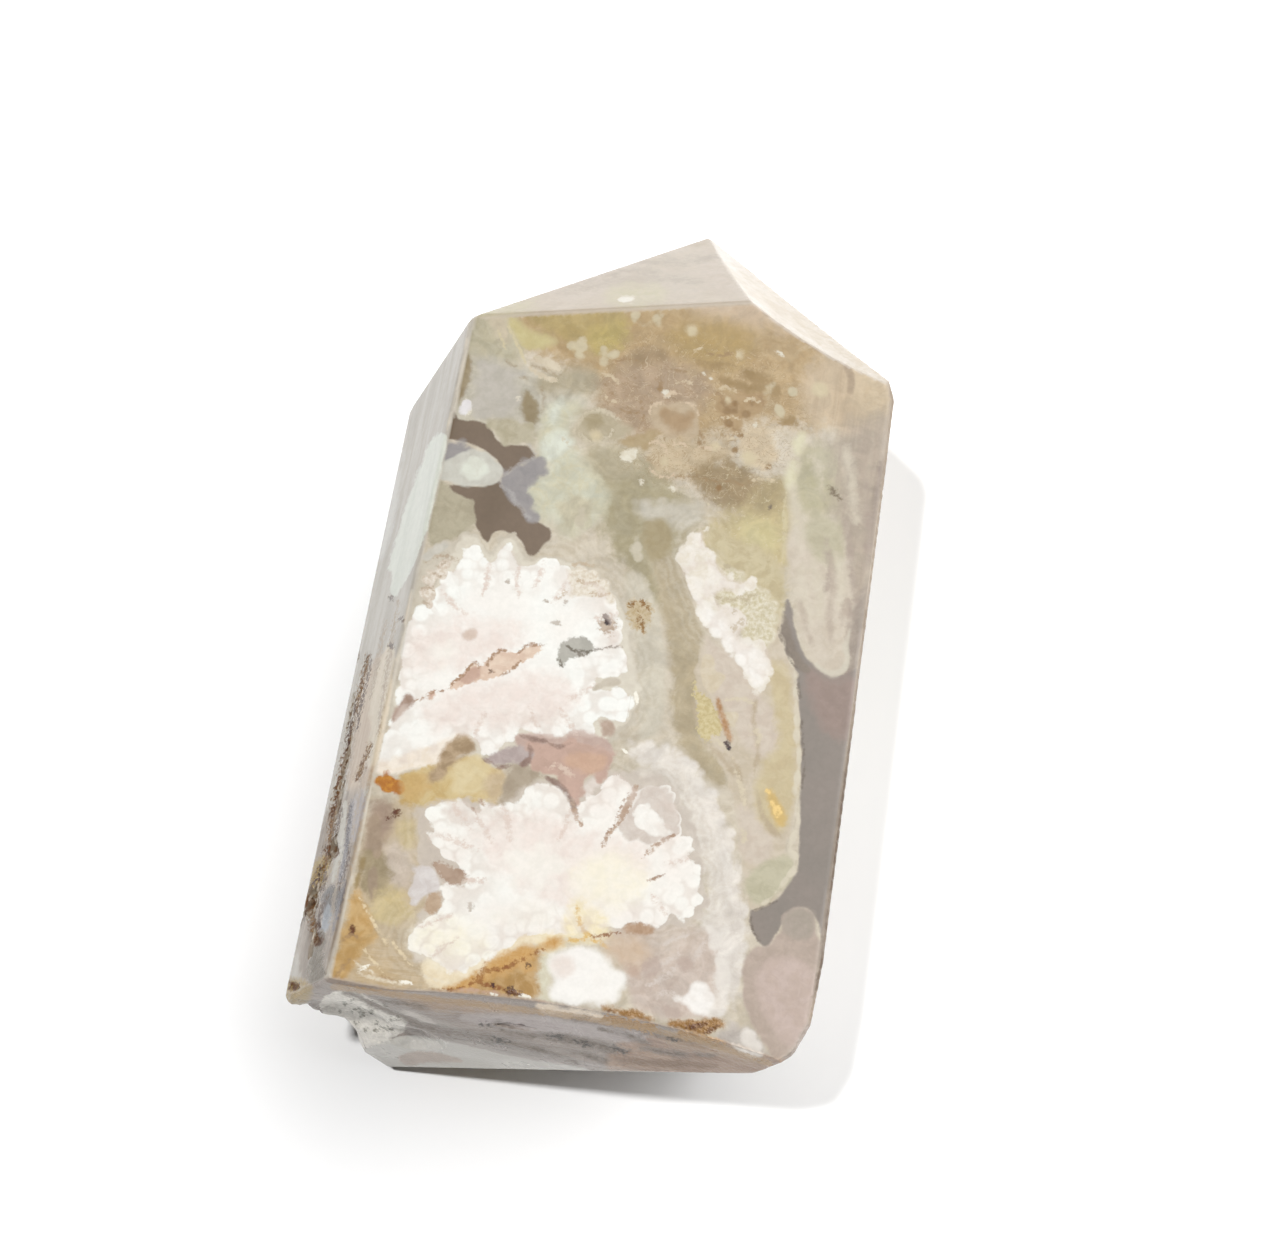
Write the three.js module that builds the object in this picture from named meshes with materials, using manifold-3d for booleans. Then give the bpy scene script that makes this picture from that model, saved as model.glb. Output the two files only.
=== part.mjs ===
// A flower agate point: one piece of polished stone, ground into a short, wide prism with a many-sided
// tip. It lies on its back face with the tip towards +Y and the heel towards -Y.
// Millimetres, +Z up. The origin is below the middle of the stone, on the surface that it rests on.
import * as THREE from "three";
import { mergeVertices } from "three/addons/utils/BufferGeometryUtils.js";
import Module from "manifold-3d";

const wasm = await Module();
wasm.setup();

const point = (x, y, z) => new THREE.Vector3(x, y, z);

// Driving dimensions
const thickness = 24; // rest face to front face
const reach = 300; // larger than the stone, for the blocks and wheels that grind it
const brokenEdgeWidth = 0.42; // the narrow flat along each polished edge

// Corners on the front face
const leftShoulder = point(-15.2, 21.7, thickness);
const frontRidge = point(7.9, 26.5, thickness);
const rightShoulder = point(19.7, 21.2, thickness);
const rightEdgeHead = point(20.4, 19.3, thickness);
const rightEdgeFoot = point(20.7, -29.0, thickness);
const cornerFirst = point(20.4, -33.8, thickness);
const cornerSecond = point(19.4, -36.3, thickness);
const rightHeel = point(18.3, -37.3, thickness);
const leftHeel = point(-16.8, -35.9, thickness);

// Corners below it
const tip = point(2.5, 37.9, 13);
const flankHead = point(-20.3, 16.2, 16);
const flankHeel = point(-20.7, -36.3, 17);
const restLeft = point(-12.9, -36.2, 0);
const restLeftHead = point(-12.0, 14.0, 0);
const restHeadLeft = point(-6.0, 27.0, 0);
const restHeadRight = point(10.0, 26.0, 0);
const restRightHead = point(14.0, 18.5, 0);

// The heel: an upper facet, a lower one past a faint crease, and a slope back under the stone
const creaseLeft = point(-10.3, -36.6, 14.6);
const creaseRight = point(4.5, -37.1, 16.8);
const heelLowLeft = point(-12.5, -36.7, 2.6);
const heelLowRight = point(18.4, -37.4, 21.8);
const undercutFoot = point(12.5, -28.0, 0);

// How far each face below a front edge leans, in degrees. More than 0 leans in towards the foot.
const rightLean = 15.2;
const cornerLean = 19;
const heelLean = -3;

// The plane through two points of an edge, leaning from upright by an angle
function leaning(a, b, lean) {
  const along = b.clone().sub(a).normalize();
  const outward = point(along.y, -along.x, 0).normalize();
  if (outward.dot(a) < 0) outward.negate();
  const drop = THREE.MathUtils.degToRad(lean);
  const lower = a.clone().addScaledVector(outward, -Math.sin(drop)).add(point(0, 0, -Math.cos(drop)));
  return [a, b, lower];
}

const upright = (a, b) => [a, b, point(a.x, a.y, a.z - 1)];

// Each facet is the plane through three of its points. Its outside is the side away from the middle.
const facetPoints = {
  rightFace: leaning(rightEdgeHead, rightEdgeFoot, rightLean),
  leftFlank: [leftShoulder, leftHeel, flankHeel],
  leftUnderside: [flankHead, flankHeel, restLeft],
  tipFront: [leftShoulder, frontRidge, tip],
  tipRight: [frontRidge, rightShoulder, tip],
  tipLeft: [leftShoulder, flankHead, tip],
  tipUnderLeft: [flankHead, restLeftHead, tip],
  tipUnder: [restHeadLeft, restHeadRight, tip],
  tipUnderRight: [rightShoulder, restRightHead, tip],
  shoulderBevel: leaning(rightShoulder, rightEdgeHead, rightLean),
  heelUpper: leaning(leftHeel, rightHeel, heelLean),
  heelLower: upright(creaseLeft, creaseRight),
  heelUndercut: [heelLowLeft, heelLowRight, undercutFoot],
  heelCornerWide: leaning(rightEdgeFoot, cornerFirst, cornerLean),
  heelCornerMiddle: leaning(cornerFirst, cornerSecond, cornerLean),
  heelCornerTight: leaning(cornerSecond, rightHeel, cornerLean),
};

const middle = point(0, 0, thickness / 2);

function facetPlane([a, b, c]) {
  const plane = new THREE.Plane().setFromCoplanarPoints(a, b, c);
  return plane.distanceToPoint(middle) > 0 ? plane.negate() : plane;
}

// A three.js geometry, moved by a matrix, as a solid that can be cut
function solidOf(geometry, matrix = new THREE.Matrix4()) {
  const bare = geometry.clone().applyMatrix4(matrix);
  bare.deleteAttribute("normal");
  bare.deleteAttribute("uv");
  const merged = mergeVertices(bare, 1e-4);
  return new wasm.Manifold(
    new wasm.Mesh({
      numProp: 3,
      vertProperties: new Float32Array(merged.attributes.position.array),
      triVerts: new Uint32Array(merged.index.array),
    }),
  );
}

function geometryOf(solid) {
  const mesh = solid.getMesh();
  return new THREE.BufferGeometry()
    .setAttribute("position", new THREE.BufferAttribute(mesh.vertProperties, 3))
    .setIndex(new THREE.BufferAttribute(mesh.triVerts, 1))
    .toNonIndexed();
}

// Turns +Z to face along a direction, at a place
function facing(direction, place) {
  const turn = new THREE.Quaternion().setFromUnitVectors(point(0, 0, 1), direction);
  return new THREE.Matrix4().compose(place, turn, point(1, 1, 1));
}

// Takes off everything outside a plane
function grindFlat(stone, plane) {
  const block = new THREE.BoxGeometry(reach, reach, reach).translate(0, 0, reach / 2);
  const place = plane.projectPoint(middle, point(0, 0, 0));
  return stone.subtract(solidOf(block, facing(plane.normal, place)));
}

// Breaks the edge between two facets with a narrow flat, halfway between them
function breakEdge(stone, first, second) {
  const turn = first.normal.angleTo(second.normal);
  const depth = (brokenEdgeWidth / 2) * Math.tan(turn / 2);
  const sum = first.normal.clone().add(second.normal);
  const constant = (first.constant + second.constant) / sum.length() + depth;
  return grindFlat(stone, new THREE.Plane(sum.normalize(), constant));
}

// Takes a shallow hollow with the rim of a grinding wheel. The bottom of the hollow runs from start to
// end, and outward points away from the stone.
function grindHollow(stone, { start, end, outward, wheelRadius }) {
  const along = end.clone().sub(start).normalize();
  const out = outward.clone().projectOnPlane(along).normalize();
  const centre = start.clone().add(end).multiplyScalar(0.5).addScaledVector(out, wheelRadius);
  const facetWidth = 1.7;
  const sides = Math.round((2 * Math.PI * wheelRadius) / facetWidth);
  const wheel = new THREE.CylinderGeometry(wheelRadius, wheelRadius, reach, sides);
  wheel.rotateX(Math.PI / 2);
  return stone.subtract(solidOf(wheel, facing(along, centre)));
}

// Repeatable numbers from 0 to 1
function seededNumbers(seed) {
  let state = seed;
  return () => {
    state = (state * 1664525 + 1013904223) % 4294967296;
    return state / 4294967296;
  };
}

// Breaks out a rough-walled pit or chip: a ball, stretched to its three sizes, turned about the
// upright and lumpy all over
function breakOut(stone, { place, size, turn = 0, lumps = 0.25, detail = 3, seed }) {
  const ball = new THREE.IcosahedronGeometry(1, detail);
  ball.deleteAttribute("normal");
  ball.deleteAttribute("uv");
  const lump = mergeVertices(ball);
  const next = seededNumbers(seed);
  const corners = lump.attributes.position;
  for (let i = 0; i < corners.count; i += 1) {
    const swell = 1 + lumps * (next() - 0.5);
    corners.setXYZ(i, corners.getX(i) * swell, corners.getY(i) * swell, corners.getZ(i) * swell);
  }
  const upAxis = point(0, 0, 1);
  const turned = new THREE.Quaternion().setFromAxisAngle(upAxis, THREE.MathUtils.degToRad(turn));
  return stone.subtract(solidOf(lump, new THREE.Matrix4().compose(place, turned, size)));
}

// The broken corner at the left of the heel: two scoops side by side, and what came off around them
const heelChips = [
  { place: point(-16.2, -41.0, 14.0), size: point(6.6, 6.2, 8.6), lumps: 0.07, detail: 8, seed: 3 },
  { place: point(-11.2, -39.6, 12.8), size: point(4.4, 3.9, 5.4), turn: 8, lumps: 0.1, detail: 6, seed: 5 },
  { place: point(-18.6, -38.6, 7.5), size: point(4.2, 4.6, 6.5), lumps: 0.09, detail: 5, seed: 8 },
  { place: point(-21.9, -37.0, 18.4), size: point(2.1, 2.4, 2.6), lumps: 0.14, seed: 11 },
];

// Natural holes down the left flank, along a fissure that reaches the heel
const flankHoles = [
  { place: point(-20.0, -11.2, 17.6), size: point(0.45, 2.6, 0.5), lumps: 0.4, seed: 27 },
  { place: point(-19.5, -16.7, 18.7), size: point(0.55, 3.4, 0.6), turn: -4, lumps: 0.4, seed: 26 },
  { place: point(-19.2, -20.3, 19.4), size: point(0.5, 2.4, 0.6), turn: -5, lumps: 0.4, seed: 25 },
  { place: point(-19.0, -24.3, 20.1), size: point(0.8, 1.4, 0.9), lumps: 0.5, seed: 24 },
  { place: point(-19.6, -26.3, 19.0), size: point(0.5, 1.3, 0.5), turn: 10, lumps: 0.5, seed: 23 },
  { place: point(-20.0, -28.2, 18.2), size: point(0.9, 1.5, 1.0), lumps: 0.5, seed: 22 },
  { place: point(-19.1, -31.9, 20.3), size: point(0.6, 1.8, 0.6), turn: 4, lumps: 0.5, seed: 21 },
];

// Rough spots along the heel
const heelPits = [
  { place: point(6.2, -37.0, 18.6), size: point(1.3, 0.5, 0.6), lumps: 0.4, seed: 41 },
  { place: point(-2.0, -36.4, 19.6), size: point(2.2, 0.5, 0.5), lumps: 0.4, seed: 42 },
  { place: point(12.4, -36.9, 22.4), size: point(1.6, 0.6, 0.5), lumps: 0.4, seed: 43 },
];

// Small nicks in the long edges
const edgeNicks = [
  { place: point(20.9, 11.2, 24.2), size: point(0.7, 0.9, 0.9), seed: 31 },
  { place: point(-21.1, -6.2, 16.6), size: point(0.8, 1.2, 0.9), seed: 33 },
  { place: point(-21.8, -15.6, 16.8), size: point(1.3, 4.6, 1.6), lumps: 0.08, seed: 34 },
  { place: point(-21.5, -29.6, 16.9), size: point(1.0, 1.5, 1.2), lumps: 0.2, seed: 35 },
];

function flowerAgatePoint() {
  const rough = new THREE.BoxGeometry(reach, reach, thickness).translate(0, 0, thickness / 2);
  const facets = Object.values(facetPoints).map(facetPlane);
  let stone = solidOf(rough);
  for (const facet of facets) stone = grindFlat(stone, facet);

  const front = new THREE.Plane(point(0, 0, 1), -thickness);
  const rest = new THREE.Plane(point(0, 0, -1), 0);
  const faces = [front, rest, ...facets];
  const sharpTurn = 24;
  const widestTurn = 130;
  faces.forEach((first, i) => {
    for (const second of faces.slice(i + 1)) {
      const turn = THREE.MathUtils.radToDeg(first.normal.angleTo(second.normal));
      if (turn > sharpTurn && turn < widestTurn) stone = breakEdge(stone, first, second);
    }
  });

  // The right tip facet and the top of the heel were ground slightly hollow
  stone = grindHollow(stone, {
    start: point(13.3, 23.0, thickness),
    end: tip,
    outward: facetPlane(facetPoints.tipRight).normal,
    wheelRadius: 22,
  });
  stone = grindHollow(stone, {
    start: point(3.9, -35.2, thickness),
    end: point(3.9, -37.2, 15),
    outward: facetPlane(facetPoints.heelUpper).normal,
    wheelRadius: 96,
  });

  for (const hole of [...heelChips, ...flankHoles, ...heelPits, ...edgeNicks]) {
    stone = breakOut(stone, hole);
  }
  return stone;
}

// Puts the middle of the stone above the origin
function centred(geometry) {
  geometry.computeBoundingBox();
  const centre = geometry.boundingBox.getCenter(point(0, 0, 0));
  return geometry.translate(-centre.x, -centre.y, -geometry.boundingBox.min.z);
}

const agate = new THREE.MeshStandardMaterial({ color: 0xcfc5b8, roughness: 0.15, metalness: 0 });
const stoneMesh = new THREE.Mesh(centred(geometryOf(flowerAgatePoint())), agate);
stoneMesh.name = "agate_point";

const group = new THREE.Group();
group.add(stoneMesh);

export default group;
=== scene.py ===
import math

import bmesh
import bpy
import numpy as np
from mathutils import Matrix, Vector, noise
from mathutils.geometry import delaunay_2d_cdt, intersect_point_line


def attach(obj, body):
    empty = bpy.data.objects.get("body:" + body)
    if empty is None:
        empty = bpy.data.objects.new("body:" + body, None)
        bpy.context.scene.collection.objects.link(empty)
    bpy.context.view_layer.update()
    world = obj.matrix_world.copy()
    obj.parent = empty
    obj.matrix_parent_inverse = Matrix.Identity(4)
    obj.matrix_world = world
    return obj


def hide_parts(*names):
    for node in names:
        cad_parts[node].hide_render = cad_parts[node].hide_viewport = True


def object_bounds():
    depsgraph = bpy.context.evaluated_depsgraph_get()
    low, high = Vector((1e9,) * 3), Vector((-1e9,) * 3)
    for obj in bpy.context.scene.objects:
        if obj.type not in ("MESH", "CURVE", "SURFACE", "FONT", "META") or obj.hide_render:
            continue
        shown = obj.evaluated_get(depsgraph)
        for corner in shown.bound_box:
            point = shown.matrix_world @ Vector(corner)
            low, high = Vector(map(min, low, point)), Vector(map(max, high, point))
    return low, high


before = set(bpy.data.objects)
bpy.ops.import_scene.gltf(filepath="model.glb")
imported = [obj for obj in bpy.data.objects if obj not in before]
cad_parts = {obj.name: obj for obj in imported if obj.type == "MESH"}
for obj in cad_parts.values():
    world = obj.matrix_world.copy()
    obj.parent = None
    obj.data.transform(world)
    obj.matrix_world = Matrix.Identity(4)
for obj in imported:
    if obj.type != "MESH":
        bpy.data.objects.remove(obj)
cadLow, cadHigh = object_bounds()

print("frame loaded:", ", ".join(sorted(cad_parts)))

mm = 0.001
stageSize = 3.0

# How the stone was looked at: outlines further down are given in the pixels of this view.
viewing = {
    "width": 1282,
    "height": 1234,
    "azimuth": 8.5,
    "elevation": 68.0,
    "distance": 260 * mm,
    "target": (2.6 * mm, -2.97 * mm, 24 * mm),
    "focalPixels": 3269.0,
    "sensor": 36.0,
    "grazing": 0.02,  # faces turned further away than this count as hidden
}

lighting = {
    "skyFrom": (0.62, 0.62, 0.55),  # the broad soft light comes mostly from here
    "skySpread": 0.5,
    "skyStrength": 4.4,
    "skyElsewhere": 0.02,
    "keyStrength": 2.8,
    "keyFrom": (-4.7, -2.8, 24.0),  # towards the lamp, from the stone
    "keyBlur": 3.5,  # degrees across
    "floorTone": 0.76,
}


def backVector():
    a, e = math.radians(viewing["azimuth"]), math.radians(viewing["elevation"])
    return Vector((math.sin(a) * math.cos(e), -math.cos(a) * math.cos(e), math.sin(e)))


def placeCamera():
    data = bpy.data.cameras.new("viewCamera")
    camera = bpy.data.objects.new("viewCamera", data)
    bpy.context.scene.collection.objects.link(camera)
    back = backVector()
    camera.location = Vector(viewing["target"]) + back * viewing["distance"]
    camera.rotation_mode = "QUATERNION"
    camera.rotation_quaternion = (-back).to_track_quat("-Z", "Y")
    data.sensor_width = viewing["sensor"]
    data.lens = viewing["sensor"] * viewing["focalPixels"] / viewing["width"]
    data.clip_start, data.clip_end = 0.01, 20.0
    bpy.context.scene.camera = camera
    return camera


def pixelsOf(points):
    # points in metres, one a row, to pixels of the viewing frame
    back = np.array(backVector())
    forward = -back
    right = np.cross(forward, (0.0, 0.0, 1.0))
    right /= np.linalg.norm(right)
    up = np.cross(right, forward)
    offset = points - (np.array(viewing["target"]) + back * viewing["distance"])
    depth = offset @ forward
    x = viewing["width"] / 2 + viewing["focalPixels"] * (offset @ right) / depth
    y = viewing["height"] / 2 - viewing["focalPixels"] * (offset @ up) / depth
    return np.stack([x, y], axis=1)


def addNode(tree, kind, inputs=None, **settings):
    # inputs are given values or linked to the sockets they are given
    node = tree.nodes.new(kind)
    for name, value in settings.items():
        setattr(node, name, value)
    for name, value in (inputs or {}).items():
        if isinstance(value, bpy.types.NodeSocket):
            tree.links.new(value, node.inputs[name])
        else:
            node.inputs[name].default_value = value
    return node


def setUpStudio():
    scene = bpy.context.scene
    scene.view_settings.view_transform = "Standard"
    scene.view_settings.look = "None"
    world = bpy.data.worlds.new("softStudio")
    scene.world = world
    world.use_nodes = True
    tree = world.node_tree
    sky = tree.nodes["Background"]
    heading = addNode(tree, "ShaderNodeTexCoord").outputs["Generated"]
    facing = addNode(
        tree, "ShaderNodeVectorMath", {0: heading, 1: Vector(lighting["skyFrom"]).normalized()},
        operation="DOT_PRODUCT",
    ).outputs["Value"]
    glow = addNode(
        tree, "ShaderNodeMapRange",
        {
            "Value": facing, "From Min": lighting["skySpread"], "To Min": lighting["skyElsewhere"],
            "To Max": lighting["skyStrength"],
        },
        interpolation_type="SMOOTHSTEP",
    ).outputs["Result"]
    # looked at directly, the surroundings are plain white
    looked = addNode(tree, "ShaderNodeLightPath").outputs["Is Camera Ray"]
    shown = addNode(tree, "ShaderNodeMix", {"Factor": looked, "A": glow, "B": 1.0}).outputs["Result"]
    tree.links.new(shown, sky.inputs["Strength"])
    sky.inputs["Color"].default_value = (1.0, 1.0, 1.0, 1.0)

    lamp = bpy.data.lights.new("keyLamp", "SUN")
    lamp.energy = lighting["keyStrength"]
    lamp.angle = math.radians(lighting["keyBlur"])
    key = bpy.data.objects.new("keyLamp", lamp)
    scene.collection.objects.link(key)
    key.rotation_mode = "QUATERNION"
    key.rotation_quaternion = Vector(lighting["keyFrom"]).to_track_quat("Z", "Y")
    key.visible_glossy = False  # the lamp itself isn't mirrored in the polish

    half = stageSize
    mesh = bpy.data.meshes.new("paleFloor")
    mesh.from_pydata(
        [(-half, -half, 0), (half, -half, 0), (half, half, 0), (-half, half, 0)], [], [(0, 1, 2, 3)]
    )
    floor = bpy.data.objects.new("paleFloor", mesh)
    scene.collection.objects.link(floor)
    paint = bpy.data.materials.new("paleFloorPaint")
    paint.use_nodes = True
    shader = paint.node_tree.nodes["Principled BSDF"]
    tone = lighting["floorTone"]
    shader.inputs["Base Color"].default_value = (tone, tone, tone, 1.0)
    shader.inputs["Roughness"].default_value = 0.9
    shader.inputs["Specular IOR Level"].default_value = 0.0
    mesh.materials.append(paint)


placeCamera()
setUpStudio()
print("camera, lamp and floor placed")

# The stone's surface: each flat ground face is filled with small triangles.
stoneShape = {
    "seenStep": 0.26,  # mm between points on the faces the picture shows
    "hiddenStep": 0.6,
    "rimClear": 0.5,  # steps that inner points keep from the rim
    "drawnIn": 0.006,  # steps that points along an edge are drawn in by, at least
    "softenRounds": 1,  # takes the sharpness off the ground edges
    "crispEdge": 22,  # degrees; edges sharper than this stay crisp
    "needle": 0.012,  # mm; thinner faces are closed up
}


def groundFaces(node):
    work = bmesh.new()
    work.from_mesh(node.data)
    bmesh.ops.remove_doubles(work, verts=work.verts, dist=1e-6)
    closeNeedles(work)
    bmesh.ops.dissolve_limit(
        work, angle_limit=math.radians(0.3), verts=work.verts, edges=work.edges, use_dissolve_boundaries=False
    )
    return work


def closeNeedles(work):
    # Where ground faces cross at a hair's angle a needle of a face is left between them. Its
    # blunt corner is welded to its long side, and the needle is gone.
    thin = stoneShape["needle"] * mm
    for _ in range(8):
        needles = []
        for face in work.faces:
            longest = max(e.calc_length() for e in face.edges)
            if face.calc_area() / longest < thin:
                needles.append((face, longest))
        closed = 0
        for face, longest in needles:
            if not face.is_valid:
                continue
            nearest = None
            for corner in face.verts:
                for edge in face.edges:
                    if corner in edge.verts:
                        continue
                    start, end = edge.verts[0].co, edge.verts[1].co
                    place, share = intersect_point_line(corner.co, start, end)
                    gap = (place - corner.co).length
                    if 0.0 < share < 1.0 and (nearest is None or gap < nearest[0]):
                        nearest = gap, corner, edge, share
            if nearest is None or nearest[0] > 2 * thin:
                continue
            _, corner, edge, share = nearest
            _, added = bmesh.utils.edge_split(edge, edge.verts[0], share)
            bmesh.ops.weld_verts(work, targetmap={added: corner})
            closed += 1
        bmesh.ops.remove_doubles(work, verts=work.verts, dist=thin)
        if not closed:
            break
    bmesh.ops.recalc_face_normals(work, faces=work.faces)


def segmentGap(points, a, b):
    # distance from each point to the segment a-b, and how far along it the nearest place is
    along = b - a
    reach = max(float(along @ along), 1e-12)
    t = np.clip(((points - a) @ along) / reach, 0.0, 1.0)
    gap = points - (a + t[:, None] * along)
    return np.hypot(gap[:, 0], gap[:, 1]), t


def insideOutline(points, outline):
    inside = np.zeros(len(points), bool)
    x, y = points[:, 0], points[:, 1]
    previous = outline[-1]
    for corner in outline:
        crosses = (corner[1] > y) != (previous[1] > y)
        if crosses.any():
            rise = previous[1] - corner[1]
            edgeX = corner[0] + (y - corner[1]) / (rise if rise else 1e-12) * (previous[0] - corner[0])
            inside ^= crosses & (x < edgeX)
        previous = corner
    return inside


def fillFace(corners, normal, step, edgeSteps):
    # Corners are in mm round one flat face; gives its points in space and its triangles.
    # Points along a straight edge are drawn in by a hair while the face is filled, each by a
    # different amount, so that no three stand in a line and no sliver comes out of the filling.
    least, goldenShare = stoneShape["drawnIn"], 0.618
    ring, drawnIn = [], []
    for i, corner in enumerate(corners):
        after = corners[(i + 1) % len(corners)]
        parts = max(1, round(float(np.linalg.norm(after - corner)) / edgeSteps[i]))
        inward = np.cross(normal, after - corner)
        inward /= max(float(np.linalg.norm(inward)), 1e-9)
        for k in range(parts):
            ring.append(corner + (after - corner) * (k / parts))
            share = min(k, parts - k)
            amount = least + least * (share * goldenShare % 1.0) if k else 0.0
            drawnIn.append(inward * amount * step)
    ring, drawnIn = np.array(ring), np.array(drawnIn)
    guess = np.array((1.0, 0.0, 0.0)) if abs(normal[0]) < 0.8 else np.array((0.0, 1.0, 0.0))
    sideways = np.cross(guess, normal)
    sideways /= np.linalg.norm(sideways)
    upward = np.cross(normal, sideways)
    origin = ring[0]
    filling = ring + drawnIn - origin
    flat = np.stack([filling @ sideways, filling @ upward], axis=1)
    outline = np.stack([(corners - origin) @ sideways, (corners - origin) @ upward], axis=1)

    low, high = flat.min(0), flat.max(0)
    rowStep = step * math.sqrt(3) / 2
    rows = np.arange(low[1] + rowStep / 2, high[1], rowStep)
    spots = []
    for r, y in enumerate(rows):
        xs = np.arange(low[0] + step * (0.25 + 0.5 * (r % 2)), high[0], step)
        spots.append(np.stack([xs, np.full(len(xs), y)], axis=1))
    inner = np.concatenate(spots) if spots else np.zeros((0, 2))
    if len(inner):
        inner = inner[insideOutline(inner, outline)]
    for i in range(len(outline)):
        if not len(inner):
            break
        gap, _ = segmentGap(inner, outline[i], outline[(i + 1) % len(outline)])
        inner = inner[gap > step * stoneShape["rimClear"]]

    given = np.concatenate([flat, inner]) if len(inner) else flat
    made = delaunay_2d_cdt([Vector(p) for p in given], [], [list(range(len(flat)))], 1, 1e-6, True)
    places = []
    for spot, source in zip(made[0], made[3]):
        if source and source[0] < len(ring):
            places.append(ring[source[0]])
        else:
            places.append(origin + sideways * spot.x + upward * spot.y)
    # what lies between rim points only may be outside a hollow rim
    rim = [all(made[3][i] and made[3][i][0] < len(ring) for i in f) for f in made[2]]
    middles = np.array([[sum(made[0][i][k] for i in f) / 3 for k in range(2)] for f in made[2]])
    inside = insideOutline(middles[rim], flat) if any(rim) else []
    keep = np.ones(len(made[2]), bool)
    keep[np.flatnonzero(rim)] = inside
    return np.array(places), [tuple(f) for f, kept in zip(made[2], keep) if kept]


def seenFromView(place, normal):
    eye = np.array(viewing["target"]) / mm + np.array(backVector()) * viewing["distance"] / mm
    towards = eye - place
    return float(towards @ normal) / float(np.linalg.norm(towards)) > viewing["grazing"]


def denseStone(node):
    work = groundFaces(node)
    faceStep = {}
    for face in work.faces:
        normal, middle = np.array(face.normal), np.array(face.calc_center_median()) / mm
        seen = seenFromView(middle, normal)
        faceStep[face.index] = stoneShape["seenStep"] if seen else stoneShape["hiddenStep"]
    points, triangles = [], []
    count = 0
    for face in work.faces:
        if face.calc_area() < 1e-12:
            continue
        corners = np.array([v.co for v in face.verts], float) / mm
        edgeSteps = []
        for loop in face.loops:
            edgeSteps.append(min(faceStep[f.index] for f in loop.edge.link_faces))
        places, filled = fillFace(corners, np.array(face.normal, float), faceStep[face.index], edgeSteps)
        points.append(places)
        triangles += [tuple(i + count for i in f) for f in filled]
        count += len(places)
    work.free()
    mesh = bpy.data.meshes.new("agateBody")
    mesh.from_pydata([tuple(p * mm) for p in np.concatenate(points)], [], triangles)
    joined = bmesh.new()
    joined.from_mesh(mesh)
    bmesh.ops.remove_doubles(joined, verts=joined.verts, dist=0.01 * mm)
    gaps = [e for e in joined.edges if len(e.link_faces) == 1]
    bmesh.ops.holes_fill(joined, edges=gaps, sides=12)
    bmesh.ops.triangulate(joined, faces=[f for f in joined.faces if len(f.verts) > 3])
    openEdges = sum(1 for e in joined.edges if len(e.link_faces) != 2)
    joined.to_mesh(mesh)
    joined.free()
    sizes = len(mesh.vertices), "points,", len(mesh.polygons), "triangles,"
    print("stone filled:", *sizes, openEdges, "open edges")
    return mesh


def neighbourPairs(mesh):
    pairs = np.empty(len(mesh.edges) * 2, np.int64)
    mesh.edges.foreach_get("vertices", pairs)
    return pairs.reshape(-1, 2)


def triangleCorners(mesh):
    corners = np.empty(len(mesh.polygons) * 3, np.int64)
    mesh.polygons.foreach_get("vertices", corners)
    return corners.reshape(-1, 3)


def readPoints(mesh):
    flat = np.empty(len(mesh.vertices) * 3)
    mesh.vertices.foreach_get("co", flat)
    return flat.reshape(-1, 3)


def writePoints(mesh, points):
    mesh.vertices.foreach_set("co", np.ascontiguousarray(points, np.float32).ravel())
    mesh.update()


def averageOver(pairs, values):
    # mean of each point's neighbours
    total = np.zeros_like(values)
    count = np.zeros(len(values))
    for one, other in ((0, 1), (1, 0)):
        np.add.at(total, pairs[:, one], values[pairs[:, other]])
        np.add.at(count, pairs[:, one], 1.0)
    return total / np.maximum(count, 1.0)[:, None]


def soften(mesh, rounds):
    points, pairs = readPoints(mesh), neighbourPairs(mesh)
    for _ in range(rounds):
        points += 0.5 * (averageOver(pairs, points) - points)
    writePoints(mesh, points)


faceNames = ["front", "tipLeft", "tipRight", "flank", "heel", "bevel"]

# which way the named faces look, as parts of their normals, and where they are
faceLimits = {
    "level": 0.94,
    "tipUp": 0.35,
    "tipSplit": 0.12,
    "flankAcross": -0.3,
    "flankFrom": -36.2 * mm,
    "heelUp": -0.2,
    "heelTo": -33.5 * mm,
    "bevelAcross": 0.25,
}


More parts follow.
